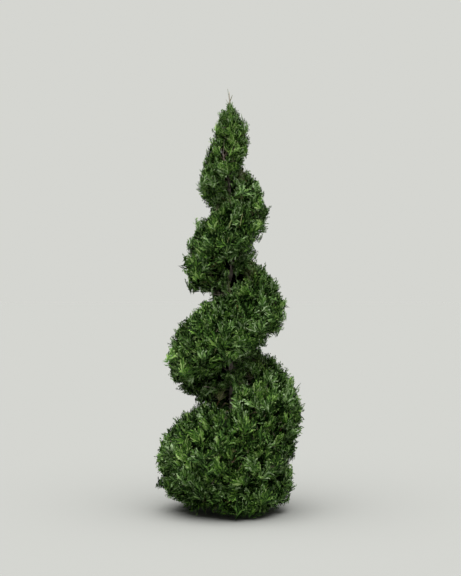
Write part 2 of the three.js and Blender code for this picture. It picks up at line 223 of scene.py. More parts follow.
class Shader(Nodes):
    """Builds one material."""

    def __init__(self, name: str) -> None:
        """Makes a material with one Principled shader.

        Args:
            name: The material's name.
        """
        self.material = bpy.data.materials.new(name)
        self.material.use_nodes = True
        super().__init__(self.material.node_tree)
        self.surface = self.tree.nodes["Principled BSDF"]

    def set(self, **values: "Socket | float | tuple[float, ...]") -> None:
        """Sets or links inputs of the Principled shader, named with underscores for spaces."""
        for key, value in values.items():
            self.feed(self.surface.inputs[key.replace("_", " ")], value)

    def mix(self, share: Socket, first: "Socket | Triple", second: "Socket | Triple") -> Socket:
        """Mixes two colours.

        Args:
            share: How much of the second there is.
            first: One colour.
            second: The other.

        Returns:
            The mixed colour.
        """
        first, second = ((*c, 1.0) if isinstance(c, tuple) else c for c in (first, second))
        return self.node("ShaderNodeMix", {"data_type": "RGBA"}, {0: share, 6: first, 7: second}, 2)


@dataclass(frozen=True)
class BarkFinish:
    """Dull grey-brown bark that peels in long fine strips."""

    # furrow and ridge are lightened past the bark's own grey-brown, as painted light for a trunk that
    # stands in the crown's shade
    furrow: Triple = (0.170, 0.135, 0.115)
    ridge: Triple = (0.640, 0.570, 0.500)
    russet: Triple = (0.200, 0.115, 0.080)
    young: Triple = (0.430, 0.380, 0.300)
    young_over: Pair = (1.20, 1.42)  # heights
    strips: float = 260.0
    strip_detail: float = 5.0
    strip_roughness: float = 0.62
    strip_stretch: float = 0.09
    ridge_over: Pair = (0.38, 0.62)
    patches: float = 22.0
    patch_detail: float = 3.0
    russet_over: Pair = (0.48, 0.68)
    russet_share: float = 0.6
    relief: float = 0.6
    relief_depth: float = 0.0012
    roughness: float = 0.95
    patch_gloss: float = 0.14

    def _noise(self, place: Socket, **inputs: float) -> Socket:
        """Adds a noise texture at a place and returns its strength."""
        return place.nodes.node("ShaderNodeTexNoise", {}, {"Vector": place, **inputs}, "Fac")

    def material(self) -> bpy.types.Material:
        """Makes the bark material.

        Returns:
            The material.
        """
        shader = Shader("bark")
        place = shader.node("ShaderNodeTexCoord", {}, {}, "Object")
        stretch = {"Vector": place, "Scale": (1.0, 1.0, self.strip_stretch)}
        long_way = shader.node("ShaderNodeMapping", {}, stretch, "Vector")
        detail, roughness = self.strip_detail, self.strip_roughness
        strips = self._noise(long_way, Scale=self.strips, Detail=detail, Roughness=roughness)
        patches = self._noise(place, Scale=self.patches, Detail=self.patch_detail)
        ridge = strips.between(*self.ridge_over)
        colour = shader.mix(ridge, self.furrow, self.ridge)
        colour = shader.mix(patches.between(*self.russet_over) * self.russet_share, colour, self.russet)
        height = shader.node("ShaderNodeSeparateXYZ", {}, {"Vector": place}, "Z")
        colour = shader.mix(height.between(*self.young_over), colour, self.young)
        relief = {"Height": ridge, "Strength": self.relief, "Distance": self.relief_depth}
        bump = shader.node("ShaderNodeBump", {}, relief, "Normal")
        shader.set(Base_Color=colour, Normal=bump, Roughness=self.roughness - self.patch_gloss * patches)
        return shader.material


@dataclass(frozen=True)
class PlainFinish:
    """One even colour, for a tone of the foliage or the studio floor."""

    name: str
    colour: Triple
    roughness: float = 0.62
    specular: float = 0.2

    def material(self) -> bpy.types.Material:
        """Makes the material.

        Returns:
            The material.
        """
        shader = Shader(self.name)
        shader.set(Base_Color=(*self.colour, 1.0), Roughness=self.roughness)
        shader.set(Specular_IOR_Level=self.specular)
        return shader.material


# ---------------------------------------------------------------- shared arithmetic


def seeded(draw: Draw, *keys: int) -> np.random.Generator:
    """Repeatable random numbers for one part of the plant."""
    return np.random.default_rng([SEED, draw.value, *keys])


def unit(vectors: np.ndarray) -> np.ndarray:
    """Vectors of length 1 in the same directions."""
    return vectors / np.maximum(np.linalg.norm(vectors, axis=-1, keepdims=True), 1e-9)


def smooth(x: np.ndarray, low: float, high: float) -> np.ndarray:
    """A smooth step from 0 at low to 1 at high."""
    t = np.clip((x - low) / (high - low), 0, 1)
    return t * t * (3 - 2 * t)


def between_knots(knots: Sequence[tuple[float, ...]], x: np.ndarray) -> tuple[np.ndarray, ...]:
    """Finds places among knots.

    Args:
        knots: Each a place and its values.
        x: The places to find.

    Returns:
        The values at the knots before and after each place, and its eased share of the way.
    """
    table = np.array(knots)
    i = np.clip(np.searchsorted(table[:, 0], x, side="right") - 1, 0, len(table) - 2)
    return table[i, 1:], table[i + 1, 1:], smooth(x, table[i, 0], table[i + 1, 0])


def ease(knots: Sequence[Pair], x: np.ndarray) -> np.ndarray:
    """Eases through knots of a place and a value, and keeps the end values beyond them."""
    before, after, share = between_knots(knots, x)
    return before[..., 0] + (after[..., 0] - before[..., 0]) * share


def around(radius: np.ndarray | float, angle: np.ndarray, z: np.ndarray | float) -> np.ndarray:
    """Points, (n, 3), by their distances from the axis, their bearings and their heights."""
    return np.column_stack(np.broadcast_arrays(radius * np.cos(angle), radius * np.sin(angle), z))


def spray_axes(along: np.ndarray, face: np.ndarray) -> np.ndarray:
    """Own directions of sprays, (n, 3, 3): along the rib, across it, and out of the face."""
    side = unit(np.cross(face, along))
    return np.stack([along, side, np.cross(along, side)], axis=1)


def bend(start: np.ndarray, middle: np.ndarray, end: np.ndarray, steps: int) -> np.ndarray:
    """Points of curves that leave start towards middle and arrive at end, (n, steps + 1, 3)."""
    t = np.linspace(0, 1, steps + 1)[None, :, None]
    return (1 - t) ** 2 * start[:, None] + 2 * t * (1 - t) * middle[:, None] + t**2 * end[:, None]


def nearest(points: np.ndarray, centres: np.ndarray) -> np.ndarray:
    """Place of the nearest centre to each point."""
    return np.linalg.norm(points[:, None] - centres[None], axis=2).argmin(1)


def dealt(rng: np.random.Generator, mix: Mix, count: int) -> np.ndarray:
    """Deals out tones.

    Args:
        rng: The random numbers, which one tone alone doesn't use.
        mix: The tones and their shares.
        count: How many to deal.

    Returns:
        The tones' places among their piece's materials.
    """
    places = [tone.place for tone, _ in mix]
    if len(places) == 1:
        return np.full(count, places[0])
    return rng.choice(places, count, p=[share for _, share in mix])


def show(name: str, data: bpy.types.ID) -> bpy.types.Object:
    """Puts an object into the scene.

    Args:
        name: Its name.
        data: Its mesh, light or camera.

    Returns:
        The object, at the origin.
    """
    thing = bpy.data.objects.new(name, data)
    bpy.context.scene.collection.objects.link(thing)
    return thing


def finish_bmesh(bm: bmesh.types.BMesh, name: str, material: bpy.types.Material) -> bpy.types.Object:
    """Turns a closed bmesh into a smooth object with one material.

    Args:
        bm: The mesh, which is freed.
        name: The object's name.
        material: Its material.

    Returns:
        The object, at the origin.
    """
    bmesh.ops.recalc_face_normals(bm, faces=bm.faces[:])
    bmesh.ops.triangulate(bm, faces=[f for f in bm.faces if len(f.verts) > 4])
    mesh = bpy.data.meshes.new(name)
    bm.to_mesh(mesh)
    bm.free()
    mesh.materials.append(material)
    mesh.shade_smooth()
    return show(name, mesh)


# ---------------------------------------------------------------- stamps and joined pieces


@dataclass
class Stamp:
    """A small shape that is modelled once and then repeated many times in a joined piece."""

    points: np.ndarray
    corners: np.ndarray
    steps: np.ndarray

    @classmethod
    def of(cls, bm: bmesh.types.BMesh, lowest_step: int = 0) -> "Stamp":
        """Reads a finished bmesh and frees it.

        Args:
            bm: The mesh, whose faces' material indices count tone steps up from the lowest.
            lowest_step: The lowest tone step.

        Returns:
            The stamp.
        """
        bmesh.ops.triangulate(bm, faces=bm.faces[:])
        bm.verts.index_update()
        points = np.array([v.co[:] for v in bm.verts])
        corners = np.array([[v.index for v in f.verts] for f in bm.faces])
        steps = np.array([f.material_index + lowest_step for f in bm.faces])
        bm.free()
        return cls(points, corners, steps)

    @classmethod
    def tube(cls, sides: int, tip: float) -> "Stamp":
        """Makes a closed tube of radius 1 from z = 0 to z = 1, or a spike.

        Args:
            sides: Corners of its section.
            tip: Radius of its upper end, which is 0 for a spike.

        Returns:
            The stamp.
        """
        bm = bmesh.new()
        bmesh.ops.create_cone(bm, cap_ends=True, segments=sides, radius1=1, radius2=tip, depth=1)
        bmesh.ops.remove_doubles(bm, verts=bm.verts[:], dist=1e-4)
        bmesh.ops.translate(bm, verts=bm.verts[:], vec=(0, 0, 0.5))
        return cls.of(bm)


class JoinedPiece:
    """One mesh object made of many stamped copies."""

    def __init__(self, name: str) -> None:
        """Starts an empty piece.

        Args:
            name: The name of its object.
        """
        self.name = name
        self.points: list[np.ndarray] = []
        self.corners: list[np.ndarray] = []
        self.tones: list[np.ndarray] = []
        self.count = 0

    @property
    def triangles(self) -> int:
        """Triangles so far."""
        return sum(len(c) for c in self.corners)

    def _append(self, stamp: Stamp, placed: np.ndarray, tones: np.ndarray) -> None:
        """Adds copies whose points are already in place.

        Args:
            stamp: The shape.
            placed: The points of each copy, (n, p, 3).
            tones: First material of each copy, (n,).
        """
        copies, size = placed.shape[:2]
        offsets = self.count + size * np.arange(copies)
        self.points.append(placed.reshape(-1, 3))
        self.corners.append((stamp.corners[None] + offsets[:, None, None]).reshape(-1, 3))
        family, tone = np.divmod(tones[:, None], TONE_STEPS)
        shaded = np.clip(tone + stamp.steps[None], 0, TONE_STEPS - 1) + family * TONE_STEPS
        self.tones.append(shaded.reshape(-1))
        self.count += copies * size

    def scatter(self, stamps: Sequence[Stamp], variety: np.ndarray, at: np.ndarray, axes: np.ndarray,
                sizes: np.ndarray, tones: np.ndarray) -> None:
        """Adds turned and scaled copies.

        Args:
            stamps: The varieties of a shape.
            variety: Which of them each copy is, (n,).
            at: Origins, (n, 3).
            axes: Rows are each copy's own x, y and z directions, (n, 3, 3).
            sizes: Scales, (n,).
            tones: First material of each copy, (n,).
        """
        for n, stamp in enumerate(stamps):
            pick = variety == n
            turned = np.einsum("pk,nkj->npj", stamp.points, axes[pick])
            self._append(stamp, turned * sizes[pick, None, None] + at[pick, None], tones[pick])

    def stretch(self, stamp: Stamp, start: np.ndarray, end: np.ndarray, radii: np.ndarray,
                tones: np.ndarray) -> None:
        """Adds copies of a unit tube along +Z, drawn out between pairs of points.

        Args:
            stamp: A tube of radius 1 from z = 0 to z = 1.
            start: First ends, (n, 3).
            end: Second ends, (n, 3).
            radii: Radius at each end, (n, 2).
            tones: Material of each copy, (n,).
        """
        along = unit(end - start)
        side = np.where(np.abs(along[:, 2:]) > 0.9, [[1.0, 0.0, 0.0]], UP[None])
        across = unit(np.cross(along, side))
        third = np.cross(along, across)
        share = stamp.points[:, 2]
        width = radii[:, :1] * (1 - share) + radii[:, 1:] * share
        placed = start[:, None] + (end - start)[:, None] * share[None, :, None]
        placed = placed + width[..., None] * stamp.points[None, :, :1] * across[:, None]
        placed = placed + width[..., None] * stamp.points[None, :, 1:2] * third[:, None]
        self._append(stamp, placed, tones)

    def join(self, other: "JoinedPiece") -> None:
        """Adds all of another piece.

        Args:
            other: The piece, which isn't built afterwards.
        """
        self.corners += [c + self.count for c in other.corners]
        self.points += other.points
        self.tones += other.tones
        self.count += other.count

    def build(self, materials: Sequence[bpy.types.Material]) -> bpy.types.Object:
        """Makes the mesh object.

        Args:
            materials: The materials that the tones count through.

        Returns:
            The object, at the origin.
        """
        points, corners = np.concatenate(self.points), np.concatenate(self.corners)
        points[:, 2] = np.maximum(points[:, 2], 0)
        tones = np.clip(np.concatenate(self.tones), 0, len(materials) - 1)
        mesh = bpy.data.meshes.new(self.name)
        mesh.vertices.add(len(points))
        mesh.vertices.foreach_set("co", points.astype(np.float32).ravel())
        mesh.loops.add(corners.size)
        mesh.loops.foreach_set("vertex_index", corners.astype(np.int32).ravel())
        mesh.polygons.add(len(corners))
        mesh.polygons.foreach_set("loop_start", np.arange(0, corners.size, 3, dtype=np.int32))
        mesh.polygons.foreach_set("material_index", tones.astype(np.int32))
        mesh.update(calc_edges=True)
        for material in materials:
            mesh.materials.append(material)
        mesh.shade_smooth()
        return show(self.name, mesh)


class TwigKind(Enum):
    """Steps along a kind of twig, corners round it, and the share of its thickness left at its end."""

    BRANCH = (5, 5, 0.6)
    TWIG = (3, 4, 0.6)
    SHOOT = (4, 4, 0.6)
    SNAG = (4, 4, 0.4)


class TwigPiece(JoinedPiece):
    """The joined branches, twigs and stems."""

    def __init__(self, name: str) -> None:
        """Starts an empty piece, and models the tubes and the spike that it is made of.

        Args:
            name: The name of its object.
        """
        super().__init__(name)
        self.tubes = {kind.value[1]: Stamp.tube(kind.value[1], 1.0) for kind in TwigKind}
        self.spike = Stamp.tube(3, 0.0)

    def grow(self, kind: TwigKind, start: np.ndarray, middle: np.ndarray, end: np.ndarray,
             thick: np.ndarray, tones: np.ndarray) -> None:
        """Adds tapering curved twigs.

        Args:
            kind: Their kind.
            start: Where they leave their limbs, (n, 3).
            middle: What they set out towards, (n, 3).
            end: Their tips, (n, 3).
            thick: Their radii at the start, (n,).
            tones: Their colours, (n,).
        """
        steps, sides, taper = kind.value
        overlap = 0.04  # of a step, so that no gap opens at a bend
        line, thin = bend(start, middle, end, steps), thick * taper
        for k in range(steps):
            near, far = line[:, k], line[:, k + 1]
            radii = [thick + (thin - thick) * place / steps for place in (k, k + 1)]
            reach = far + (far - near) * overlap
            self.stretch(self.tubes[sides], near, reach, np.column_stack(radii), tones)


# ---------------------------------------------------------------- the plant's own rules


@dataclass(frozen=True)
class Trunk:
    """The stem that runs from its foot to the tip of the leader, wandering a little on the way."""

    height: float
    foot: float = 0.017
    tip: float = 0.0009
    taper_power: float = 0.9
    flare: float = 0.013
    flare_height: float = 0.038
    buttresses: int = 5
    buttress_depth: float = 0.2
    bare_gap: float = 0.007
    sides: int = 30
    rings: int = 170
    ring_power: float = 1.35  # sets the rings closer at the foot
    wander: tuple[Triple, ...] = (
        (0.0, 0.0, 0.0),
        (0.210, 0.003, 0.002),
        (0.432, 0.009, -0.003),
        (0.640, -0.002, 0.003),
        (0.796, -0.011, 0.0),
        (0.880, 0.006, -0.003),
        (1.030, 0.003, 0.003),
        (1.170, -0.005, 0.0),
        (1.340, 0.001, -0.002),
        (1.505, -0.004, 0.001),
    )

    def centre(self, z: np.ndarray) -> np.ndarray:
        """Finds points of the centre line, (n, 3).

        Args:
            z: The heights.

        Returns:
            The points.
        """
        z = np.atleast_1d(np.asarray(z, float))
        before, after, share = between_knots(self.wander, z)
        return np.column_stack([before * (1 - share[:, None]) + after * share[:, None], z])

    def radius(self, z: np.ndarray) -> np.ndarray:
        """Finds the trunk's radius, with the flare at the foot.

        Args:
            z: The heights.

        Returns:
            The radii.
        """
        share = np.clip(1 - np.asarray(z, float) / self.height, 0, 1)
        stem = self.tip + (self.foot - self.tip) * share**self.taper_power
        return stem + self.flare * np.exp(-np.asarray(z, float) / self.flare_height)

    def buttress(self, angle: float, z: float) -> float:
        """Factor on the radius for the root buttresses, which die out above the foot."""
        swell = self.buttress_depth * math.exp(-z / self.flare_height)
        return 1 + swell * math.cos(self.buttresses * angle)


@dataclass(frozen=True)
class Outline:
    """The cone that the plant is clipped to, rounded off into a blunt tip."""

    top: float
    radius: float = 0.266
    at_height: float = 0.378
    slope: float = 0.181
    round_from: float = 1.170
    round_power: float = 2.0
    full_size_radius: float = 0.15  # from which sprays have their full size
    least_size: float = 0.66

    def radius_at(self, z: np.ndarray) -> np.ndarray:
        """Finds the outline's radius.

        Args:
            z: The heights.

        Returns:
            The radii.
        """
        z = np.asarray(z, float)
        cone = self.radius - self.slope * (z - self.at_height)
        share = np.clip((z - self.round_from) / (self.top - self.round_from), 0, 1)
        return np.minimum(cone, self.radius) * np.sqrt(np.maximum(0, 1 - share**self.round_power))

    def spray_sizes(self, points: np.ndarray) -> np.ndarray:
        """Sizes of sprays at points, smaller on the slim top of the plant."""
        return np.clip(self.radius_at(points[:, 2]) / self.full_size_radius, self.least_size, 1.0)


@dataclass(frozen=True)
class Opening:
    """A place where the foliage stands open and shows the wood behind it."""

    bearing: float
    aside: float
    height: float
    half_width: float
    half_height: float
    through: bool = False

    @property
    def frame(self) -> tuple[np.ndarray, np.ndarray]:
        """The level directions out of the opening and across it.

        Returns:
            Both directions, of length 1.
        """
        angle = math.pi + TURN * self.bearing
        ahead = np.array([math.cos(angle), math.sin(angle), 0])
        return ahead, np.array([-math.sin(angle), math.cos(angle), 0])

    def holds(self, points: np.ndarray) -> np.ndarray:
        """Tells which points stand within the opening, in front of the trunk or also behind it.

        Args:
            points: The points, (n, 3).

        Returns:
            True for each point within it.
        """
        ahead, across = self.frame
        sideways = (points @ across - self.aside) / self.half_width
        share = sideways**2 + ((points[:, 2] - self.height) / self.half_height) ** 2
        return (self.through | (points @ ahead > 0)) & (share < 1)


@dataclass(frozen=True)
class Mass:
    """The room of one packed mass of foliage, and where its bough starts and ends."""

    node: str
    skin: Callable[[np.ndarray, np.ndarray], np.ndarray]
    room: Callable[[np.ndarray], np.ndarray]
    heart: np.ndarray
    root: np.ndarray
    span: Pair = (0.03, 0.97)
    thin_below: float = 0.0
    thinness: float = 0.6
    first_turn: float | None = None
    bands: int = 61
    samples: int = 9
    sample_span: Pair = (0.06, 0.94)
    first_share: float = 0.01
    share_reach: float = 0.98

    def slopes(self, a: np.ndarray, b: np.ndarray) -> tuple[np.ndarray, np.ndarray]:
        """Finds how the skin changes along each of its two shares.

        Args:
            a: Shares along the skin.
            b: Shares across it.

        Returns:
            The change along each share, (n, 3).
        """
        step = 1e-3
        along_a = (self.skin(a + step, b) - self.skin(a - step, b)) / (2 * step)
        along_b = (self.skin(a, b + step) - self.skin(a, b - step)) / (2 * step)
        return along_a, along_b

    def banded(self) -> tuple[np.ndarray, np.ndarray, float]:
        """Measures the skin in bands across it.

        Returns:
            The shares, the running area from 0 to 1, and the whole area.
        """
        shares = np.linspace(*self.span, self.bands)
        grid_a, grid_b = np.meshgrid(np.linspace(*self.sample_span, self.samples), shares)
        along_a, along_b = self.slopes(grid_a.ravel(), grid_b.ravel())
        area = np.linalg.norm(np.cross(along_a, along_b), axis=1).reshape(grid_a.shape).mean(1)
        whole = float(area.sum() * (shares[1] - shares[0]))
        area = area * np.where(shares < self.thin_below, self.thinness, 1.0)
        running = np.concatenate([[0.0], np.cumsum((area[1:] + area[:-1]) / 2)])
        return shares, running / running[-1], whole

    def spread(self, count: int, shift: float) -> tuple[np.ndarray, np.ndarray]:
        """Spreads points evenly over the skin.

        Args:
            count: How many.
            shift: Where the even sequence starts, from 0 to 1.

        Returns:
            The points and the outward normals.
        """
        golden = 1.32471795724  # makes the most even sequence in two directions
        n = np.arange(count) + 1
        a = self.first_share + self.share_reach * ((shift + n / golden) % 1)
        shares, running, _ = self.banded()
        b = np.interp((shift + n / golden**2) % 1, running, shares)
        return self.skin(a, b), unit(np.cross(*self.slopes(a, b)))


@dataclass(frozen=True)
class Ribbon:
    """The foliage's one winding. Turn 0 faces -X, 0.25 the front, 0.5 +X and 0.75 the back."""

    outline: Outline
    trunk: Trunk
    start_turn: float = -0.75
    stretch_turns: float = 0.25
    stretches: int = 18
    centre_at_zero: float = 0.162
    rise: float = 0.430
    rise_loss: float = 0.027
    half_thickness: float = 0.455
    ground_gap: float = 0.006
    skirt: Pair = (0.364, 0.330)
    lift_turn: float = 0.25
    lift_heights: tuple[float, ...] = (0.125, 0.206, 0.292)
    over_rise: tuple[Pair, ...] = (
        (0.0, 0.014),
        (0.5, 0.019),
        (1.0, 0.004),
        (1.5, 0.0),
        (2.0, 0.018),
        (2.25, 0.010),
        (2.36, 0.036),
        (2.45, 0.030),
        (2.6, 0.0),
    )
    under_rise: tuple[Pair, ...] = (
        (1.0, 0.004),
        (1.5, 0.014),
        (2.0, -0.012),
        (2.5, 0.036),
        (3.0, -0.006),
        (3.5, 0.008),
    )
    start_closeness: float = 0.84
    full_over: Pair = (-0.6, 0.0)
    end_lift: float = 0.075
    end_lift_over: Pair = (3.12, 3.45)
    end_highest: float = 1.302
    end_closeness: float = 0.78
    end_close_over: Pair = (3.15, 3.5)
    fade_in: Pair = (-0.8, 0.05)
    fade_out: Pair = (3.3, 3.75)
    shallow: float = 0.1
    slack_above: float = 0.58
    slack_below: float = 0.8
    ground_rounding: float = 0.6
    widest_section: float = math.radians(84)
    inset: float = 0.004
    hang: float = 0.011
    overlap: float = 0.012
    near_share: float = 0.04
    bump: float = 0.005
    bumps_round: int = 5
    bump_heights: Pair = (0.031, 0.047)
    heart_share: float = 0.42
    bough_rise: float = 0.026
    hanging_share: float = 0.16  # of a hanging stretch's skin, which is thin
    cap_floor: float = 1.330
    cap_radius: float = 0.068
    cap_top: float = 1.462
    cap_sharpness: float = 0.75
    cap_root: float = 0.01
    cap_heart: float = 0.05
    cap_span: Pair = (0.0, 0.96)
    openings: tuple[Opening, ...] = (
        Opening(0.25, 0.004, 0.840, 0.010, 0.044),
        Opening(0.25, -0.006, 1.164, 0.010, 0.026),
        Opening(0.25, -0.024, 1.272, 0.012, 0.024),
        Opening(0.25, -0.022, 0.405, 0.042, 0.024),
        Opening(0.25, 0.064, 0.470, 0.018, 0.010),
        Opening(0.25, -0.083, 0.778, 0.015, 0.016, True),
        Opening(0.25, 0.144, 0.234, 0.012, 0.012, True),
        Opening(0.75, 0.010, 0.640, 0.020, 0.045),
        Opening(0.70, -0.008, 1.020, 0.015, 0.035),
        Opening(0.48, 0.012, 0.560, 0.020, 0.045),
        Opening(0.02, 0.006, 0.750, 0.018, 0.040),
    )

    def centre(self, turn: np.ndarray) -> np.ndarray:
        """Height of the ribbon's middle."""
        return self.centre_at_zero + self.rise * turn - self.rise_loss * turn**2

    def half(self, turn: np.ndarray) -> np.ndarray:
        """Half the ribbon's thickness."""
        return self.half_thickness * (self.rise - 2 * self.rise_loss * turn)

    def underside(self, turn: np.ndarray) -> np.ndarray:
        """Finds the underside, which lies on the ground before it lifts off.

        Args:
            turn: Turns along the ribbon.

        Returns:
            The heights.
        """
        last = self.centre(1.0) - self.half(1.0) + self.under_rise[0][1]
        turns = self.lift_turn + self.stretch_turns * np.arange(len(self.lift_heights) + 1)
        lifted = np.interp(turn, turns, [*self.lift_heights, last])
        lift = self.end_lift * smooth(turn, *self.end_lift_over)
        even = self.centre(turn) - self.half(turn) + ease(self.under_rise, turn)
        risen = np.minimum(even + lift, self.end_highest)
        free = np.where(turn >= 1, risen, lifted)
        return np.where(turn < self.lift_turn, self.ground_gap, free)

    def upperside(self, turn: np.ndarray) -> np.ndarray:
        """Finds the upper side.

        Args:
            turn: Turns along the ribbon.

        Returns:
            The heights.
        """
        skirt = self.skirt[0] + self.skirt[1] * turn
        free = self.centre(turn) + self.half(turn) + ease(self.over_rise, turn)
        return np.where(turn < 0, skirt, np.minimum(free, self.cap_floor))

    def groove_height(self, turn: np.ndarray) -> np.ndarray:
        """Middle height of the groove over the ribbon."""
        return (self.underside(turn + 1) + self.upperside(turn)) / 2

    def groove_above(self, turn: np.ndarray) -> np.ndarray:
        """How deep the groove over the ribbon runs in: 1 reaches the trunk."""
        begin = self.shallow + (1 - self.shallow) * smooth(turn, *self.fade_in)
        return begin * (1 - (1 - self.shallow) * smooth(turn + 1, *self.fade_out))

    def groove_below(self, turn: np.ndarray) -> np.ndarray:
        """The same for the groove under it."""
        return np.where(turn < self.lift_turn, self.ground_rounding, self.groove_above(turn - 1))

    def closeness(self, turn: np.ndarray) -> np.ndarray:
        """Share of the outline's radius that the ribbon keeps, which is less near both of its ends."""
        begin = self.start_closeness + (1 - self.start_closeness) * smooth(turn, *self.full_over)
        return begin * (1 - (1 - self.end_closeness) * smooth(turn, *self.end_close_over))

    def skin(self, turn: np.ndarray, section: np.ndarray) -> np.ndarray:
        """Points of the clipped surface.

        Args:
            turn: Turns along the ribbon.
            section: Angle round its D-shaped section, from under it through 0 on the outside.

        Returns:
            The points, (n, 3).
        """
        low, high = self.underside(turn), self.upperside(turn)
        groove = np.where(section < 0, self.groove_below(turn), self.groove_above(turn))
        inset = self.inset + np.where(section < 0, self.hang, 0)
        free = inset * groove - self.overlap * (1 - groove)
        z = (low + high) / 2 + ((high - low) / 2 - free) * np.sin(section)
        slackness = np.where(section < 0, self.slack_below, self.slack_above)
        share = self.closeness(turn) * (1 - groove * (1 - np.maximum(np.cos(section), 0) ** slackness))
        near = self.trunk.radius(z) + self.trunk.bare_gap + self.near_share * self.outline.radius_at(z)
        angle = math.pi + TURN * turn
        wave = np.sin(self.bumps_round * angle + z / self.bump_heights[0])
        bump = self.bump * wave * np.cos(z / self.bump_heights[1] + 2 * section)
        return around(np.maximum(near, (self.outline.radius_at(z) + bump) * share), angle, z)

    def surface(self, bearing: float, height: float) -> np.ndarray:
        """Finds a point of the clipped surface.

        Args:
            bearing: Its bearing, in turns.
            height: Its height.

        Returns:
            The nearest point at that bearing.
        """
        turns = bearing + np.arange(-1, 4)
        last = self.start_turn + self.stretches * self.stretch_turns
        turns = turns[(turns > self.start_turn) & (turns < last)]
        low, high = self.underside(turns), self.upperside(turns)
        share = np.clip((2 * height - low - high) / (high - low), -0.99, 0.99)
        points = self.skin(turns, np.arcsin(share))
        return points[np.abs(points[:, 2] - height).argmin()]

    def _stretch_skin(self, first: float, a: np.ndarray, b: np.ndarray) -> np.ndarray:
        """Points of the stretch from a turn, by shares along and across it."""
        turn = np.clip(first + a * self.stretch_turns, first + HAIR, first + self.stretch_turns - HAIR)
        return self.skin(turn, self.widest_section * (2 * b - 1))

    def cap_radius_at(self, z: np.ndarray) -> np.ndarray:
        """Radius of the tip's clipped surface at heights."""
        share = np.clip((z - self.cap_floor) / (self.cap_top - self.cap_floor), 0, 1)
        return self.cap_radius * (1 - share**2) ** self.cap_sharpness

    def _cap_skin(self, a: np.ndarray, b: np.ndarray) -> np.ndarray:
        """Points of the blunt tip, by shares round it and up it."""
        z = self.cap_floor + (self.cap_top - self.cap_floor) * np.clip(b, 0, 1.1)
        return self.trunk.centre(z) + around(self.cap_radius_at(z), TURN * a, 0.0)

    def masses(self) -> list[Mass]:
        """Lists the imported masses: the ribbon's stretches, and then the blunt tip on its end.

        Returns:
            The masses, from the skirt to the tip.
        """
        found = []
        for n in range(self.stretches):
            first = self.start_turn + n * self.stretch_turns
            skin = partial(self._stretch_skin, first)
            middle = np.array([first + self.stretch_turns / 2])
            height = float((self.underside(middle) + self.upperside(middle))[0] / 2)
            root = self.trunk.centre(height - self.bough_rise)[0]
            heart = root + (skin(np.array([0.5]), np.array([0.5]))[0] - root) * self.heart_share
            heart[2] = height
            thin = 0.0 if first < self.lift_turn else self.hanging_share
            node = f"foliage_{n + 1:02d}"
            room = self.outline.radius_at
            found.append(Mass(node, skin, room, heart, root, thin_below=thin, first_turn=first))
        root, heart = self.trunk.centre([self.cap_floor + up for up in (self.cap_root, self.cap_heart)])
        found.append(Mass("foliage_tip", self._cap_skin, self.cap_radius_at, heart, root, self.cap_span))
        return found


# ---------------------------------------------------------------- sprays of scale leaves


def add_blade(bm: bmesh.types.BMesh, start: Vector, heading: float, roll: float, length: float,
              width: float, step: int) -> None:
    """Adds one blade of scale leaves: a kite folded along its middle, widest towards its tip.

    Args:
        bm: The mesh that takes it.
        start: Its lower end.
        heading: Its direction in the plane of the spray.
        roll: Its turn about its own length.
        length: Its length.
        width: Its greatest width.
        step: How many tones it is lighter than the spray.
    """
    kite = bmesh.ops.create_circle(bm, cap_ends=True, segments=4, radius=0.5)["verts"]
    face = kite[0].link_faces[0]
    base, *sides, tip = sorted(kite, key=lambda v: v.co.x)
    fold = BLADE_FOLD * width
    for v in sides:
        v.co = (BLADE_WAIST, math.copysign(0.5 * width / length, v.co.y), -fold / length)
    stretch = Matrix.Diagonal((length, length, length, 1)) @ Matrix.Translation((0.5, 0, 0))
    turned = Matrix.Rotation(heading, 4, "Z") @ Matrix.Rotation(roll, 4, "X")
    bmesh.ops.transform(bm, matrix=Matrix.Translation(start) @ turned @ stretch, verts=kite)
    face.material_index = step - LOWEST_STEP
    bmesh.ops.connect_verts(bm, verts=[base, tip])


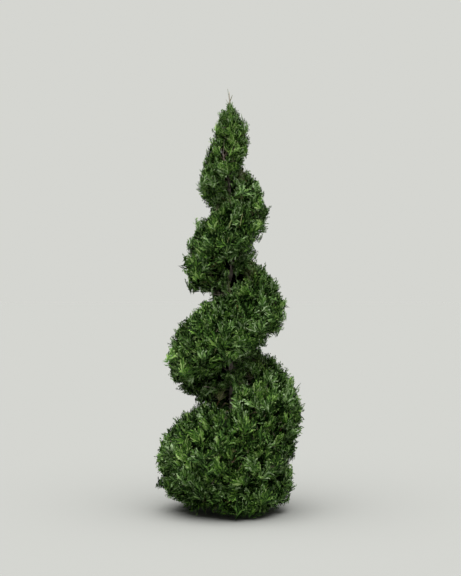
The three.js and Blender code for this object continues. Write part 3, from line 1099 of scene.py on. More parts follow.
@dataclass(frozen=True)
class SprayShape:
    """A flat fan of scale leaves: side shoots along a middle rib, each with a few fingers."""

    length: float = 0.062
    shoots: int = 8
    shoot_offset: float = 0.9
    shoot_reach: float = 0.88
    shoot_share: float = 0.66
    shoot_range: Pair = (0.75, 1.2)
    shoot_least: float = 0.009
    shoot_angle: float = 0.54
    shoot_spread: float = 0.09
    shoot_width: float = 0.0055
    swell_power: float = 0.62
    swell_over: float = 0.25
    closing: float = 0.35  # how much angles and fingers lessen towards the tip
    finger_gap: float = 0.0120
    finger_length: float = 0.0158
    first_finger: float = 1.1  # of that length
    finger_range: Pair = (0.8, 1.2)
    finger_angle: float = 0.42
    finger_spread: float = 0.1
    finger_width: float = 0.0045
    rib_width: float = 0.0042
    rib_share: float = 0.85
    end_from: float = 0.74
    end_share: float = 0.28
    tones: tuple[int, int] = (-2, 5)
    loose: float = 0.38
    cup: float = 5.0
    cup_range: Pair = (0.4, 1.5)
    lift_range: Pair = (-3.0, 1.5)

    def _shoot(self, bm: bmesh.types.BMesh, start: Vector, heading: float, length: float,
               rng: np.random.Generator) -> None:
        """Adds a shoot and the fingers on both sides of it, lighter towards the spray's tip, partly for the
        fresher growth there and partly as painted shade on the inner blades.

        Args:
            bm: The mesh that takes it.
            start: Its lower end.
            heading: Its direction.
            length: Its length.
            rng: The random numbers.
        """
        tone = int(rng.integers(*self.tones))
        add_blade(bm, start, heading, rng.normal(0, self.loose), length, self.shoot_width, tone + 1)
        ahead = Vector((math.cos(heading), math.sin(heading), 0))
        for n in range(1, max(2, round(length / self.finger_gap))):
            side = 1 if n % 2 else -1
            share = n * self.finger_gap / length
            full = self.finger_length * rng.uniform(*self.finger_range)
            reach = full * (self.first_finger - self.closing * share)
            turned = heading + side * (self.finger_angle + rng.normal(0, self.finger_spread))
            roll = rng.normal(0, self.loose)
            # outer fingers one green lighter: fresher growth, and painted shade on the inner ones
            step = tone + 1 + int(share > 0.5)
            add_blade(bm, start + ahead * length * share, turned, roll, reach, self.finger_width, step)

    def stamp(self, key: int) -> Stamp:
        """Builds one variety of the spray, its rib along +X and its face towards +Z.

        Args:
            key: Picks the variety.

        Returns:
            The finished stamp, at full size.
        """
        rng = seeded(Draw.SPRAYS, key)
        bm = bmesh.new()
        add_blade(bm, Vector((0, 0, 0)), 0, 0, self.length * self.rib_share, self.rib_width, 1)
        for n in range(self.shoots):
            share = (n + self.shoot_offset) / (self.shoots + self.shoot_offset)
            side = 1 if n % 2 else -1
            swell = (1 - share) ** self.swell_power * (0.5 + 0.5 * min(1, share / self.swell_over))
            full = self.length * self.shoot_share * swell
            length = max(self.shoot_least, full * rng.uniform(*self.shoot_range))
            lean = self.shoot_angle * (1 - self.closing * share)
            heading = side * lean + rng.normal(0, self.shoot_spread)
            self._shoot(bm, Vector((self.length * share * self.shoot_reach, 0, 0)), heading, length, rng)
        end = Vector((self.length * self.end_from, 0, 0))
        self._shoot(bm, end, 0.0, self.length * self.end_share, rng)
        cup, lift = self.cup * rng.uniform(*self.cup_range), rng.uniform(*self.lift_range)
        for v in bm.verts:
            v.co.z += lift * v.co.x**2 - cup * v.co.y**2
        return Stamp.of(bm, LOWEST_STEP)


@dataclass(frozen=True)
class FillShape:
    """A coarse spray of old leaves that shades the inside of a mass."""

    length: float = 0.070
    blades: int = 13
    blade_reach: float = 0.7
    blade_length: float = 0.031
    blade_loss: float = 0.3
    blade_width: float = 0.014
    angle: float = 0.95
    angle_loss: float = 0.45
    angle_spread: float = 0.15
    loose: float = 0.4

    def stamp(self, key: int) -> Stamp:
        """Builds one variety of the inner spray, its rib along +X.

        Args:
            key: Picks the variety.

        Returns:
            The finished stamp, at full size.
        """
        rng = seeded(Draw.FILLS, key)
        bm = bmesh.new()
        for n in range(self.blades):
            share = n / self.blades
            aside = rng.uniform(-self.angle_spread, self.angle_spread)
            heading = (1 if n % 2 else -1) * (self.angle - self.angle_loss * share) + aside
            start = Vector((self.length * share * self.blade_reach, 0, 0))
            reach = self.blade_length * (1 - self.blade_loss * share)
            add_blade(bm, start, heading, rng.normal(0, self.loose), reach, self.blade_width, 0)
        return Stamp.of(bm, LOWEST_STEP)


# ---------------------------------------------------------------- limbs


@dataclass(frozen=True)
class BarkLimbs:
    """The trunk and the boughs, as meshes with the bark's relief."""

    trunk: Trunk
    relief: float = 0.045
    ridge_depth: float = 1.6
    ridge_scale: float = 190.0
    ridge_stretch: float = 0.12
    knot_depth: float = 1.1
    knot_scale: float = 34.0
    shoots: tuple[Triple, ...] = ((1.462, 0.034, 0.3), (1.452, 0.030, -0.5), (1.470, 0.024, -0.16))
    shoot_radii: tuple[float, ...] = (0.0012, 0.0010, 0.0009, 0.0007, 0.0004)
    shoot_sides: int = 6
    shoot_swing: float = 0.25  # forwards, for a full lean aside
    bough_share: float = 0.36  # of the trunk's radius
    bough_taper: float = 0.38
    bough_arch: float = 0.006
    bough_steps: int = 12
    bough_sides: int = 12

    def _rough(self, spot: Vector, radius: float) -> float:
        """Adds long ridges and small knots to a radius.

        Args:
            spot: A point of the smooth limb.
            radius: The smooth limb's radius there.

        Returns:
            The rough radius.
        """
        stretched = Vector((spot.x, spot.y, spot.z * self.ridge_stretch))
        ridge = noise.noise(stretched * self.ridge_scale)
        knot = noise.noise(spot * self.knot_scale)
        return radius * (1 + self.relief * (self.ridge_depth * ridge + self.knot_depth * knot))

    def _loft(self, bm: bmesh.types.BMesh, centres: Sequence[Vector], radii: Sequence[float], sides: int,
              lobes: Callable[[float, float], float] = lambda angle, z: 1.0) -> None:
        """Extrudes a ring along centres and closes both ends.

        Args:
            bm: The mesh that takes the limb, with a bearing kept at each vertex.
            centres: Points of the centre line.
            radii: Radius at each.
            sides: Corners of a ring.
            lobes: Factor on the radius, by the bearing and the centre's height.
        """
        bearing = bm.verts.layers.float["bearing"]
        ring = bmesh.ops.create_circle(bm, cap_ends=False, segments=sides, radius=1)["verts"]
        for v in ring:
            v[bearing] = math.atan2(v.co.y, v.co.x)
        edges = foot = list(dict.fromkeys(e for v in ring for e in v.link_edges))
        for n, centre in enumerate(centres):
            if n:
                made = bmesh.ops.extrude_edge_only(bm, edges=edges)["geom"]
                edges = [e for e in made if isinstance(e, bmesh.types.BMEdge)]
                ring = [v for v in made if isinstance(v, bmesh.types.BMVert)]
            ahead = centres[min(n + 1, len(centres) - 1)] - centres[max(n - 1, 0)]
            on_ground = n == 0 and centre.z < HAIR
            facing = Vector(UP) if on_ground else ahead.normalized()
            turned = Vector(UP).rotation_difference(facing).to_matrix()
            for v in ring:
                out = turned @ Vector((math.cos(v[bearing]), math.sin(v[bearing]), 0))
                radius = self._rough(centre + out * radii[n], radii[n])
                v.co = centre + out * radius * lobes(v[bearing], centre.z)
        bmesh.ops.edgeloop_fill(bm, edges=foot)
        bmesh.ops.edgeloop_fill(bm, edges=edges)

    def _start(self) -> bmesh.types.BMesh:
        """Starts a mesh whose vertices keep their bearing round the limb.

        Returns:
            The mesh.
        """
        bm = bmesh.new()
        bm.verts.layers.float.new("bearing")
        return bm

    def build_trunk(self) -> bmesh.types.BMesh:
        """Lofts the trunk, and the small shoots beside its leader.

        Returns:
            The mesh, still open for finishing.
        """
        bm = self._start()
        trunk = self.trunk
        heights = trunk.height * np.linspace(0, 1, trunk.rings + 1) ** trunk.ring_power
        centres = [Vector(c) for c in trunk.centre(heights)]
        self._loft(bm, centres, trunk.radius(heights).tolist(), trunk.sides, trunk.buttress)
        for height, length, lean in self.shoots:
            root = Vector(trunk.centre(np.array([height]))[0])
            forwards = self.shoot_swing * math.sin(3 * lean)
            ahead = Vector((math.sin(lean), forwards, math.cos(lean))) * length
            line = [root + ahead * share for share in np.linspace(0, 1, len(self.shoot_radii))]
            self._loft(bm, line, self.shoot_radii, self.shoot_sides)
        return bm

    def build_boughs(self, masses: Sequence[Mass]) -> bmesh.types.BMesh:
        """Lofts the boughs, from inside the trunk to the hearts of their masses.

        Args:
            masses: The masses that they carry.

        Returns:
            The mesh, still open for finishing.
        """
        bm = self._start()
        for mass in masses:
            middle = mass.root + (mass.heart - mass.root) * 0.5 + UP * self.bough_arch
            line = bend(mass.root[None], middle[None], mass.heart[None], self.bough_steps)[0]
            radius = self.bough_share * float(self.trunk.radius(mass.heart[2]))
            radii = radius * np.linspace(1, self.bough_taper, len(line))
            self._loft(bm, [Vector(p) for p in line], radii.tolist(), self.bough_sides)
        return bm


# ---------------------------------------------------------------- growth inside the masses


@dataclass
class Bed:
    """Where one mass's sprays are planted: its room, the pieces that take them and their shapes."""

    mass: Mass
    ribbon: Ribbon
    twigs: TwigPiece
    leaves: JoinedPiece
    sprays: Sequence[Stamp]
    fills: Sequence[Stamp]
    rng: np.random.Generator
    slack: Pair = (0.001, 0.006)
    foot: float = 0.5
    foot_over: Pair = (-0.005, 0.05)
    lowest: float = 0.004
    checked: tuple[float, ...] = (0.0, 0.35, 0.7, 1.0)  # places along a spray that keep out of openings
    facing: float = 0.9
    face_spread: float = 0.45
    stem_radius: float = 0.0009
    stem_reach: float = 0.25
    stem_mix: Mix = ((StemTone.GREY, 0.2), (StemTone.OLIVE, 0.6), (StemTone.YELLOWED, 0.2))

    def __post_init__(self) -> None:
        """Measures the mass, and starts with no twigs but its heart."""
        self.area = self.mass.banded()[2]
        self.slim = float(self.ribbon.outline.spray_sizes(self.mass.heart[None])[0])
        self.twig_ends = self.mass.heart[None]

    def spread(self, count: int) -> tuple[np.ndarray, np.ndarray, np.ndarray]:
        """Points spread over the skin, their outward normals, and the size of sprays there."""
        skin, normal = self.mass.spread(count, self.rng.random())
        return skin, normal, self.ribbon.outline.spray_sizes(skin)

    def past(self, points: np.ndarray) -> np.ndarray:
        """How far points stand outside the clipped outline, which draws in near the ground."""
        foot = 1 - self.foot * (1 - smooth(points[:, 2], *self.foot_over))
        return np.linalg.norm(points[:, :2], axis=1) - self.mass.room(points[:, 2]) * foot

    def in_opening(self, start: np.ndarray, end: np.ndarray) -> np.ndarray:
        """Tells which sprays, from start to end, stand in an opening.

        Args:
            start: Their lower ends, (n, 3).
            end: Their tips, (n, 3).

        Returns:
            True for each spray that does.
        """
        found = np.zeros(len(start), bool)
        for opening in self.ribbon.openings:
            for share in self.checked:
                found |= opening.holds(start + (end - start) * share)
        return found

    def plant(self, tips: np.ndarray, along: np.ndarray, facing: np.ndarray, sizes: np.ndarray,
              tones: np.ndarray) -> None:
        """Plants sprays, each on a stem from the nearest twig.

        Args:
            tips: Where their tips are, (n, 3).
            along: Their directions, (n, 3).
            facing: The way their faces tend to, (n, 3).
            sizes: Their scales, (n,).
            tones: Their greens, (n,).
        """
        slack = self.slack[0] + np.abs(self.rng.normal(0, self.slack[1], len(tips)))
        past = np.maximum(0, self.past(tips) - slack)
        tips = tips - unit(tips * [1, 1, 0]) * past[:, None]
        at = tips - along * (SprayShape.length * sizes)[:, None]
        at[:, 2] = np.maximum(at[:, 2], self.lowest)
        kept = ~self.in_opening(at, tips)
        at, along, facing, sizes, tones = (values[kept] for values in (at, along, facing, sizes, tones))
        count = len(at)
        face = unit(facing * self.facing + self.rng.normal(0, self.face_spread, (count, 3)))
        variety = self.rng.integers(0, len(self.sprays), count)
        self.leaves.scatter(self.sprays, variety, at, spray_axes(along, face), sizes, tones)
        stem_tones = dealt(self.rng, self.stem_mix, count)
        start = self.twig_ends[nearest(at, self.twig_ends)]
        end = at + along * (self.stem_reach * SprayShape.length * sizes)[:, None]
        radii = np.column_stack([self.stem_radius * sizes, 0 * sizes])
        self.twigs.stretch(self.twigs.spike, start, end, radii, stem_tones)


@dataclass(frozen=True)
class Branching:
    """The branches that fan out from a bough's end, and the twigs that leave them for the skin."""

    branch_share: float = 0.16  # of the number of twigs
    least_branches: int = 3
    branch_reach: Pair = (0.5, 0.62)
    branch_sway: float = 0.006
    branch_spread: float = 1.08
    branch_radius: float = 0.0026
    twig_share: float = 0.12  # of the number of sprays
    least_twigs: int = 6
    twig_depth: Pair = (0.022, 0.036)
    twig_drop: float = 0.008
    twig_lead: Pair = (0.45, 0.55)
    twig_sway: float = 0.005
    twig_sag: float = 0.006
    twig_radius: float = 0.0015
    twig_mix: Mix = ((StemTone.WOOD, 0.4), (StemTone.GREY, 0.4), (StemTone.RUSSET, 0.2))
    least_thick: float = 0.6
    thick_gain: float = 0.4

    def grow(self, bed: Bed, sprays: int) -> None:
        """Grows them, and gives the bed the twigs' ends.

        Args:
            bed: The mass's bed.
            sprays: How many outer sprays it will carry.
        """
        twigs = max(self.least_twigs, int(sprays * self.twig_share))
        branches = max(self.least_branches, int(twigs * self.branch_share))
        branch_ends = self._branches(bed, branches)
        bed.twig_ends = self._twigs(bed, twigs, branch_ends)

    def _branches(self, bed: Bed, count: int) -> np.ndarray:
        """Grows the branches.

        Args:
            bed: The mass's bed.
            count: How many.

        Returns:
            Their ends, (n, 3).
        """
        skin, _, _ = bed.spread(count)
        start = np.repeat(bed.mass.heart[None], count, 0)
        end = start + (skin - start) * bed.rng.uniform(*self.branch_reach, (count, 1))
        middle = (start + end) / 2 + bed.rng.normal(0, self.branch_sway, (count, 3))
        middle[:, :2] *= self.branch_spread
        size = bed.ribbon.outline.spray_sizes(end)
        thick = self.branch_radius * (self.least_thick + self.thick_gain * size)
        bed.twigs.grow(TwigKind.BRANCH, start, middle, end, thick, np.full(count, StemTone.WOOD.place))
        return end

    def _twigs(self, bed: Bed, count: int, branch_ends: np.ndarray) -> np.ndarray:
        """Grows a twig to each part of the skin from the nearest branch.

        Args:
            bed: The mass's bed.
            count: How many.
            branch_ends: The ends of the branches, (n, 3).

        Returns:
            Their ends, (n, 3).
        """
        skin, normal, size = bed.spread(count)
        depth = bed.rng.uniform(*self.twig_depth, (count, 1)) * size[:, None]
        end = skin - normal * depth - UP * self.twig_drop * size[:, None]
        start = branch_ends[nearest(end, branch_ends)]
        sway = bed.rng.normal(0, self.twig_sway, (count, 3))
        middle = start * self.twig_lead[0] + end * self.twig_lead[1] + sway - UP * self.twig_sag
        thick = self.twig_radius * (self.least_thick + self.thick_gain * size)
        bed.twigs.grow(TwigKind.TWIG, start, middle, end, thick, dealt(bed.rng, self.twig_mix, count))
        return end


@dataclass(frozen=True)
class Layer:
    """Sprays that are spread over the whole skin of a mass."""

    density: float
    crowding: float = 1.6  # how much closer they stand where they are smaller
    lift: Pair = (0.7, 1.3)
    lift_gain: float = 1.1
    lift_limits: Pair = (0.05, 1)

    def count(self, bed: Bed) -> int:
        """How many a mass has."""
        return int(bed.area * self.density / bed.slim**self.crowding)

    def lifts(self, bed: Bed, normal: np.ndarray) -> np.ndarray:
        """How steeply they rise, which is less where the skin faces down, (n, 1)."""
        steep = np.clip(1 + self.lift_gain * normal[:, 2:], *self.lift_limits)
        return bed.rng.uniform(*self.lift, (len(normal), 1)) * steep


@dataclass(frozen=True)
class InnerFill(Layer):
    """Sprays of old leaves inside a mass, which face outwards, in near-black greens that are painted shade.
    """

    density: float = 1600.0
    crowding: float = 1.0
    depth: Pair = (0.030, 0.070)
    depth_power: float = 1.5
    face_spread: float = 0.25
    lean_spread: float = 0.6
    lowest: float = 0.012
    least_radius: float = 0.056
    clear: float = 0.02
    scale: float = 0.9
    # near-black painted shade for the inside of the mass
    mix: Mix = ((LeafTone.SHADE, 0.85), (LeafTone.DEEP, 0.15))

    def plant(self, bed: Bed) -> None:
        """Plants them in a mass's bed.

        Args:
            bed: The bed.
        """
        rng, count = bed.rng, self.count(bed)
        skin, normal, size = bed.spread(count)
        depth = (self.depth[0] + self.depth[1] * rng.random(count) ** self.depth_power) * size
        face = unit(normal + rng.normal(0, self.face_spread, (count, 3)))
        lean = UP + rng.normal(0, self.lean_spread, (count, 3))
        along = unit(np.cross(np.cross(face, lean), face))
        reach = (FillShape.length * size)[:, None]
        at = skin - normal * depth[:, None] - along * (0.5 * reach)
        at[:, 2] = np.maximum(at[:, 2], self.lowest)
        end = at + along * reach
        inside = (bed.past(end) < -self.clear) & (bed.past(at) < -self.clear)
        wide = np.linalg.norm(skin[:, :2], axis=1) > self.least_radius
        kept = wide & inside & ~bed.in_opening(at, end)
        tones = dealt(rng, self.mix, count)[kept]
        variety = rng.integers(0, len(bed.fills), count)[kept]
        axes = spray_axes(along, face)[kept]
        bed.leaves.scatter(bed.fills, variety, at[kept], axes, size[kept] * self.scale, tones)


@dataclass(frozen=True)
class Tufts(Layer):
    """Tufts of sprays that reach the clipped surface, each fanning out from the end of one twig."""

    density: float = 620.0
    sprays: int = 6
    top_over: Pair = (1.26, 1.38)
    top_lift: float = 1.1
    across: float = 0.5
    outward: Pair = (0.2, 0.6)
    radial: float = 0.08
    lead_spread: float = 0.28
    size_range: Pair = (0.85, 1.12)
    depth: Pair = (0.009, 0.008)
    fan: float = 0.42
    fan_loss: float = 0.22
    fan_range: Pair = (0.8, 1.1)
    start_spread: float = 0.005
    trim: Pair = (0.006, 0.007)
    top_trim: float = 0.012
    light: float = 3.1
    painted_depth_shade: float = 60  # painted shade: tones lost for each metre of depth
    # painted light: tones gained where the skin faces up
    painted_top_light: float = 0.5
    light_spread: float = 0.65
    # painted shade: tones lost near the ground
    painted_foot_shade: float = 0.9
    foot_over: Pair = (0.02, 0.22)
    top_spread: float = 0.8
    tone_spread: float = 0.8
    fresh_share: float = 0.38
    top_fresh: float = 0.25

    def _leads(self, bed: Bed, skin: np.ndarray, normal: np.ndarray, top: np.ndarray) -> np.ndarray:
        """Middle directions of tufts.

        Args:
            bed: The mass's bed.
            skin: Where they reach the surface, (n, 3).
            normal: The outward normals there, (n, 3).
            top: How much they belong to the tip, (n,).

        Returns:
            The directions, (n, 3).
        """
        rng, count = bed.rng, len(skin)
        radial = unit(skin * [1, 1, 0])
        lift = self.lifts(bed, normal)
        across = np.cross(radial, UP) * rng.normal(0, self.across, (count, 1))
        rise = UP * (lift + self.top_lift * top[:, None])
        outward = normal * rng.uniform(*self.outward, (count, 1))
        lead = unit(outward + rise + across + radial * self.radial)
        return unit(lead + rng.normal(0, self.lead_spread, (count, 3)))

    def plant(self, bed: Bed) -> None:
        """Plants them in a mass's bed.

        Args:
            bed: The bed.
        """
        rng, count = bed.rng, self.count(bed)
        skin, normal, size = bed.spread(count)
        top = smooth(skin[:, 2], *self.top_over)
        lead = self._leads(bed, skin, normal, top)
        size = size * rng.uniform(*self.size_range, count)
        deep = (self.depth[0] + np.abs(rng.normal(0, self.depth[1], count))) * size
        base = skin - normal * deep[:, None] - lead * (SprayShape.length * size)[:, None]
        # The greens carry painted light and shade: lighter where the skin faces up, darker the deeper a
        # tuft stands and near the ground; the random spreads are the leaves' own variety.
        light = self.light - self.painted_depth_shade * deep + self.painted_top_light * normal[:, 2]
        light += rng.normal(0, self.light_spread, count)
        light -= self.painted_foot_shade * (1 - smooth(skin[:, 2], *self.foot_over))
        light += top * rng.normal(0, self.top_spread, count)
        tuft = np.repeat(np.arange(count), self.sprays)
        along = unit(lead[tuft] + rng.normal(0, self.fan, (len(tuft), 3)))
        off = np.linalg.norm(along - lead[tuft], axis=1)
        sizes = size[tuft] * (1 - self.fan_loss * off) * rng.uniform(*self.fan_range, len(tuft))
        start = base[tuft] + rng.normal(0, self.start_spread, (len(tuft), 3))
        tips = start + along * (SprayShape.length * sizes)[:, None]
        out = np.einsum("nk,nk->n", tips - skin[tuft], normal[tuft])
        trim = rng.normal(*self.trim, len(tuft)) - self.top_trim * top[tuft]
        tips -= normal[tuft] * np.maximum(0, out + trim)[:, None]
        light = light[tuft] - off + rng.normal(0, self.tone_spread, len(tuft))
        tones = np.clip(np.rint(light), LeafTone.SHADE.place, LeafTone.FRESH.place)
        fresh = (rng.random(count) < self.fresh_share + self.top_fresh * top)[tuft]
        bed.plant(tips, along, normal[tuft], sizes, (tones + TONE_STEPS * fresh).astype(int))


@dataclass(frozen=True)
class UnderLayer(Layer):
    """Sprays behind the tufts, which show in the gaps between them, in dark greens that are painted shade
    for those gaps.
    """

    density: float = 2500.0
    lift: Pair = (0.25, 0.95)
    size_range: Pair = (0.74, 1.1)
    outward: Pair = (0.35, 1.0)
    radial: float = 0.12
    lead_spread: float = 0.34
    depth: Pair = (0.016, 0.036)
    # painted shade: the darkest greens, for the gaps between tufts
    mix: Mix = ((LeafTone.SHADE, 0.7), (LeafTone.DEEP, 0.25), (LeafTone.DARK, 0.05))

    def plant(self, bed: Bed) -> None:
        """Plants them in a mass's bed.

        Args:
            bed: The bed.
        """
        rng, count = bed.rng, self.count(bed)
        skin, normal, size = bed.spread(count)
        size = size * rng.uniform(*self.size_range, count)
        lift = self.lifts(bed, normal)
        outward = normal * rng.uniform(*self.outward, (count, 1))
        along = outward + UP * lift + unit(skin * [1, 1, 0]) * self.radial
        along = unit(along + rng.normal(0, self.lead_spread, (count, 3)))
        tips = skin - normal * (rng.uniform(*self.depth, count) * size)[:, None]
        bed.plant(tips, along, normal, size, dealt(rng, self.mix, count))


@dataclass(frozen=True)
class GrooveLining:
    """Sprays round the trunk, in the groove over a stretch of the ribbon, in dark greens that are painted
    shade for the groove.
    """

    count: int = 92
    from_turn: float = -0.6
    height_spread: float = 0.018
    reach: Pair = (0.16, 0.54)  # of the outline's radius
    rise: Pair = (0.25, 0.6)
    lead_spread: float = 0.4
    size_range: Pair = (0.5, 0.85)
    # painted shade for the groove
    mix: Mix = ((LeafTone.DEEP, 0.4), (LeafTone.DARK, 0.42), (LeafTone.MIDDLE, 0.18))

    def plant(self, bed: Bed) -> None:
        """Plants them in a mass's bed.

        Args:
            bed: The bed.
        """
        rng, ribbon, count = bed.rng, bed.ribbon, self.count
        turn = bed.mass.first_turn + ribbon.stretch_turns * rng.random(count)
        height = ribbon.groove_height(turn) + rng.normal(0, self.height_spread, count)
        out = around(1.0, math.pi + TURN * turn, 0.0)
        reach = ribbon.outline.radius_at(height) * rng.uniform(*self.reach, count)
        tips = ribbon.trunk.centre(height) + out * reach[:, None]
        rise = UP * rng.normal(*self.rise, (count, 1))
        along = unit(out + rise + rng.normal(0, self.lead_spread, (count, 3)))
        size = ribbon.outline.spray_sizes(tips) * rng.uniform(*self.size_range, count)
        bed.plant(tips, along, out, size, dealt(rng, self.mix, count))


@dataclass(frozen=True)
class Crest:
    """The upright sprays that close the tip round the leader."""

    count: int = 46
    above: float = 0.006
    depth: float = 0.085
    depth_power: float = 1.2
    radius: float = 0.008
    slope: float = 0.62
    lean: Pair = (0.05, 0.5)
    size_range: Pair = (0.45, 0.7)
    tones: tuple[LeafTone, ...] = (LeafTone.MIDDLE, LeafTone.FRESH, LeafTone.BRIGHT)

    def plant(self, bed: Bed) -> None:
        """Plants them in the tip's bed.

        Args:
            bed: The bed.
        """
        rng, top = bed.rng, bed.ribbon.cap_top
        height = top + self.above - self.depth * rng.random(self.count) ** self.depth_power
        out = around(1.0, TURN * rng.random(self.count), 0.0)
        room = self.radius + self.slope * np.maximum(0, top - height)
        tips = bed.ribbon.trunk.centre(height) + out * room[:, None]
        along = unit(UP + out * rng.uniform(*self.lean, (self.count, 1)))
        sizes = rng.uniform(*self.size_range, self.count)
        tones = rng.choice([tone.place for tone in self.tones], self.count)
        bed.plant(tips, along, out, sizes, tones)


# ---------------------------------------------------------------- bare twigs


@dataclass(frozen=True)
class TwigLook:
    """How twigs that stand bare are drawn."""

    kind: TwigKind
    sway: float
    radius: Pair
    mix: Mix
    sag: float = 0.0

    def draw(self, twigs: TwigPiece, rng: np.random.Generator, start: np.ndarray, end: np.ndarray) -> None:
        """Adds some.

        Args:
            twigs: The piece that takes them.
            rng: The random numbers.
            start: Where they leave their limbs, (n, 3).
            end: Their tips, (n, 3).
        """
        middle = (start + end) / 2 + rng.normal(0, self.sway, start.shape) - UP * self.sag
        thick = rng.uniform(*self.radius, len(start))
        twigs.grow(self.kind, start, middle, end, thick, dealt(rng, self.mix, len(start)))


@dataclass(frozen=True)
class Snags:
    """The short bare twigs that stand off the trunk in the grooves."""

    count: int = 110
    turns: Pair = (0.3, 3.3)
    height_spread: float = 0.022
    heading_spread: float = 0.5
    reach: Pair = (0.22, 0.5)  # of the outline's radius
    rise: Pair = (0.0, 0.7)
    look: TwigLook = TwigLook(
        kind=TwigKind.SNAG,
        sway=0.004,
        radius=(0.0008, 0.0016),
        mix=((StemTone.WOOD, 0.3), (StemTone.GREY, 0.55), (StemTone.RUSSET, 0.15)),
        sag=0.004,
    )

    def grow(self, ribbon: Ribbon, twigs: TwigPiece) -> None:
        """Adds them to the twigs.

        Args:
            ribbon: The ribbon whose grooves they stand in.
            twigs: The piece that takes them.
        """
        rng = seeded(Draw.SNAGS)
        turn = rng.uniform(*self.turns, self.count)
        height = ribbon.groove_height(turn) + rng.normal(0, self.height_spread, self.count)
        start = ribbon.trunk.centre(height)
        heading = math.pi + TURN * turn + rng.normal(0, self.heading_spread, self.count)
        reach = ribbon.outline.radius_at(height) * rng.uniform(*self.reach, self.count)
        out = around(1.0, heading, rng.uniform(*self.rise, self.count))
        self.look.draw(twigs, rng, start, start + out * reach[:, None])


@dataclass(frozen=True)
class OpeningTwigs:
    """The bare twigs that cross the openings from the trunk, but for those that show the backdrop."""

    least: int = 2
    rate: float = 360.0  # more for each metre of an opening's half width
    height_spread: float = 0.7
    side_spread: float = 1.1
    reach: Pair = (0.2, 0.42)  # of the outline's radius
    rise: Pair = (0.008, 0.016)
    look: TwigLook = TwigLook(
        kind=TwigKind.SNAG,
        sway=0.006,
        radius=(0.0009, 0.0019),
        # the palest stem colour here is partly painted light, for twigs in the openings' shade
        mix=((StemTone.WOOD, 0.2), (StemTone.GREY, 0.4), (StemTone.BARE_AND_PAINTED_LIGHT, 0.4)),
    )

    def grow(self, ribbon: Ribbon, twigs: TwigPiece) -> None:
        """Adds them to the twigs.

        Args:
            ribbon: The ribbon that has the openings.
            twigs: The piece that takes them.
        """
        rng = seeded(Draw.OPENINGS)
        for opening in (each for each in ribbon.openings if not each.through):
            ahead, across = opening.frame
            count = self.least + round(opening.half_width * self.rate)
            height = opening.height + opening.half_height * rng.normal(0, self.height_spread, count)
            start = ribbon.trunk.centre(height)
            reach = ribbon.outline.radius_at(height) * rng.uniform(*self.reach, count)
            aside = opening.aside + opening.half_width * rng.normal(0, self.side_spread, count)
            end = start + ahead * reach[:, None] + across * aside[:, None]
            self.look.draw(twigs, rng, start, end + UP * rng.normal(*self.rise, (count, 1)))


@dataclass(frozen=True)
class BareStems:
    """The pale clipped stems that lie bare on the surface, by the bearings and heights of their ends."""

    known: tuple[tuple[Pair, Pair], ...] = (
        ((0.294, 0.137), (0.264, 0.097)),
        ((0.256, 1.379), (0.256, 1.278)),
        ((0.306, 1.062), (0.289, 1.015)),
        ((0.244, 0.972), (0.236, 0.918)),
        ((0.244, 1.008), (0.256, 1.037)),
    )
    others: int = 14
    bearings: Pair = (0.42, 1.08)
    heights: Pair = (0.08, 1.12)
    turning: float = 0.02
    drop: Pair = (0.03, 0.09)
    slack: float = 0.010  # how far a straight stem may pass from the surface
    depths: Pair = (0.016, 0.008)
    look: TwigLook = TwigLook(
        kind=TwigKind.BRANCH,
        sway=0.006,
        radius=(0.0009, 0.0014),
        mix=((StemTone.YELLOWED, 1.0),),
    )

    def grow(self, ribbon: Ribbon, twigs: TwigPiece) -> None:
        """Adds those that don't span a groove to the twigs.

        Args:
            ribbon: The ribbon that they lie on.
            twigs: The piece that takes them.
        """
        rng = seeded(Draw.STEMS)
        pairs = list(self.known)
        for _ in range(self.others):
            bearing, height = rng.uniform(*self.bearings), rng.uniform(*self.heights)
            turned = bearing + rng.normal(0, self.turning)
            pairs.append(((bearing, height), (turned, height - rng.uniform(*self.drop))))
        rows = [(*pair, np.mean(pair, axis=0)) for pair in pairs]
        start, end, half = (np.array([ribbon.surface(*spot) for spot in spots]) for spots in zip(*rows))
        flush = np.linalg.norm(half - (start + end) / 2, axis=1) < self.slack
        start, end = start[flush], end[flush]
        for points, depth in zip((start, end), self.depths):
            points[:, :2] *= 1 - depth / np.linalg.norm(points[:, :2], axis=1, keepdims=True)
        self.look.draw(twigs, rng, start, end)


@dataclass(frozen=True)
class LeaderShoots:
    """The thin shoots that fork from the leader."""

    fork: float = 1.470
    tips: tuple[Triple, ...] = ((-0.010, 0.002, 1.515), (0.007, -0.003, 1.493))
    bow: float = 0.12
    arch: float = 0.003
    radius: float = 0.0010

    def grow(self, ribbon: Ribbon, twigs: TwigPiece) -> None:
        """Adds them to the twigs.

        Args:
            ribbon: The ribbon, for its trunk.
            twigs: The piece that takes them.
        """
        end = np.array(self.tips)
        start = ribbon.trunk.centre(np.full(len(end), self.fork))
        middle = (start + end) / 2 + (end - start) * [self.bow, self.bow, 0] + UP * self.arch
        thick, tones = np.full(len(end), self.radius), np.full(len(end), StemTone.OLIVE.place)
        twigs.grow(TwigKind.SHOOT, start, middle, end, thick, tones)


# ---------------------------------------------------------------- studio


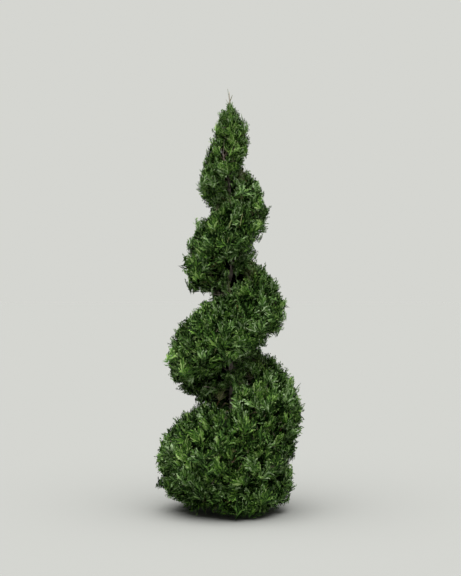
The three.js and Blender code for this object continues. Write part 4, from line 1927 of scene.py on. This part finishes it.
@dataclass(frozen=True)
class Studio:
    """A plain pale floor, soft light and the camera."""

    grey: Triple = (0.665, 0.671, 0.638)
    floor_reach: float = 60.0
    fill_light: float = 0.27
    sun_strength: float = 5.4
    sun_spread: float = 80.0
    sun_from: Triple = (-0.02, -0.20, 1.0)
    distance: float = 4.1
    eye_height: float = 0.80
    view_height: float = 2.07

    def build(self) -> None:
        """Makes the floor, the world, the lamp and the camera."""
        self._floor()
        self._world()
        self._sun()
        self._camera()
        bpy.context.scene.view_settings.view_transform = "Standard"

    def _floor(self) -> None:
        """Makes a wide floor whose lit colour is the background's."""
        bm = bmesh.new()
        bmesh.ops.create_grid(bm, x_segments=1, y_segments=1, size=self.floor_reach)
        slant = Vector(self.sun_from).normalized().z
        sun = self.sun_strength * slant / math.pi
        shade = tuple(g / (g * self.fill_light + sun) for g in self.grey)
        finish = PlainFinish("studio_floor", shade, 1.0, 0.0)
        floor = finish_bmesh(bm, "studio_floor", finish.material())

    def _world(self) -> None:
        """Makes even light from all sides, dimmer on the plant than the backdrop looks."""
        world = bpy.data.worlds.new("studio")
        world.use_nodes = True
        nodes = Nodes(world.node_tree)
        background = nodes.tree.nodes["Background"]
        backdrop = nodes.node("ShaderNodeLightPath", {}, {}, "Is Camera Ray")
        strengths = {"Value": backdrop, "To Min": self.fill_light, "To Max": 1.0}
        nodes.feed(background.inputs["Color"], (*self.grey, 1))
        nodes.feed(background.inputs["Strength"], nodes.node("ShaderNodeMapRange", {}, strengths, "Result"))
        bpy.context.scene.world = world

    def _sun(self) -> None:
        """Makes a broad light from overhead."""
        lamp = bpy.data.lights.new("overhead", "SUN")
        lamp.energy = self.sun_strength
        lamp.angle = math.radians(self.sun_spread)
        sun = show("overhead", lamp)
        sun.rotation_euler = Vector(self.sun_from).to_track_quat("Z", "Y").to_euler()

    def _camera(self) -> None:
        """Sets a level camera in front of the plant."""
        lens = bpy.data.cameras.new("camera")
        lens.sensor_fit = "VERTICAL"
        lens.lens = lens.sensor_height * self.distance / self.view_height
        eye = show("camera", lens)
        eye.location = (0, -self.distance, self.eye_height)
        eye.rotation_euler = (math.pi / 2, 0, 0)
        bpy.context.scene.camera = eye


# ---------------------------------------------------------------- the whole


@dataclass
class SpiralTopiary:
    """The whole plant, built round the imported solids."""

    spray_varieties: int = 7
    fill_varieties: int = 4
    outline_gap: float = 0.050  # from the outline's top to the leader's tip
    stem_roughness: float = 0.8
    inner_sheen: tuple[tuple[LeafTone, float], ...] = ((LeafTone.SHADE, 0.02), (LeafTone.DEEP, 0.08))

    def __post_init__(self) -> None:
        """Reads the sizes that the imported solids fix."""
        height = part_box("trunk")[1].z
        self.trunk = Trunk(height)
        self.ribbon = Ribbon(Outline(height - self.outline_gap), self.trunk)
        self.masses = self.ribbon.masses()

    def build(self) -> None:
        """Builds the limbs and the foliage."""
        self._limbs()
        self._foliage()

    def _limbs(self) -> None:
        """Builds the trunk and the boughs with bark."""
        bark = BarkFinish().material()
        limbs = BarkLimbs(self.trunk)
        self._settle(finish_bmesh(limbs.build_trunk(), "trunk_bark", bark), ["trunk"])
        boughs = [f"bough_{n + 1:02d}" for n in range(self.ribbon.stretches)]
        carried = limbs.build_boughs(self.masses[:-1])
        self._settle(finish_bmesh(carried, "boughs_bark", bark), boughs)

    def _grow(self, bed: Bed) -> None:
        """Grows all that one mass carries.

        Args:
            bed: The mass's bed.
        """
        tufts, lining = Tufts(), GrooveLining()
        Branching().grow(bed, tufts.count(bed) * tufts.sprays)
        for layer in (InnerFill(), tufts, UnderLayer()):
            layer.plant(bed)
        if bed.mass.first_turn is None:
            Crest().plant(bed)
        elif bed.mass.first_turn > lining.from_turn:
            lining.plant(bed)

    def _foliage(self) -> None:
        """Grows the twigs and leaves, and joins them into pieces."""
        stems = [PlainFinish(f"stem_{t.name.lower()}", t.value, self.stem_roughness) for t in StemTone]
        sheen = dict.fromkeys(LeafTone, PlainFinish.specular) | dict(self.inner_sheen)
        greens = [PlainFinish(f"leaf_{t.name.lower()}", t.value, specular=sheen[t]) for t in LeafTone]
        stem_materials = [finish.material() for finish in stems]
        leaf_materials = [finish.material() for finish in greens]
        sprays = [SprayShape().stamp(n) for n in range(self.spray_varieties)]
        fills = [FillShape().stamp(n) for n in range(self.fill_varieties)]
        twigs = TwigPiece("twigs")
        groups: list[tuple[JoinedPiece, list[str]]] = []
        for key, mass in enumerate(self.masses):
            grown = JoinedPiece(mass.node)
            self._grow(Bed(mass, self.ribbon, twigs, grown, sprays, fills, seeded(Draw.MASS, key)))
            LOG.info("%s: %d triangles", mass.node, grown.triangles)
            if not groups or groups[-1][0].triangles + grown.triangles > PIECE_LIMIT:
                groups.append((JoinedPiece(f"leaves_{len(groups) + 1}"), []))
            groups[-1][0].join(grown)
            groups[-1][1].append(mass.node)
        for bare in (Snags(), OpeningTwigs(), BareStems(), LeaderShoots()):
            bare.grow(self.ribbon, twigs)
        for piece, nodes in groups:
            self._settle(piece.build(leaf_materials), nodes)
        self._settle(twigs.build(stem_materials), [mass.node for mass in self.masses])

    def _settle(self, piece: bpy.types.Object, nodes: Sequence[str]) -> None:
        """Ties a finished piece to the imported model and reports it.

        Args:
            piece: The piece.
            nodes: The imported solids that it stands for.
        """
        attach(piece, BODY)
        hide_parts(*nodes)
        LOG.info("%s: %d faces, for %s", piece.name, len(piece.data.polygons), ", ".join(nodes))


def main() -> None:
    """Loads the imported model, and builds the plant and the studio."""
    logging.basicConfig(level=logging.INFO, format="%(name)s: %(message)s")
    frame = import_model()
    LOG.info("%d packed solids", len(frame["nodes"]))
    SpiralTopiary().build()
    Studio().build()


if __name__ == "__main__":
    main()
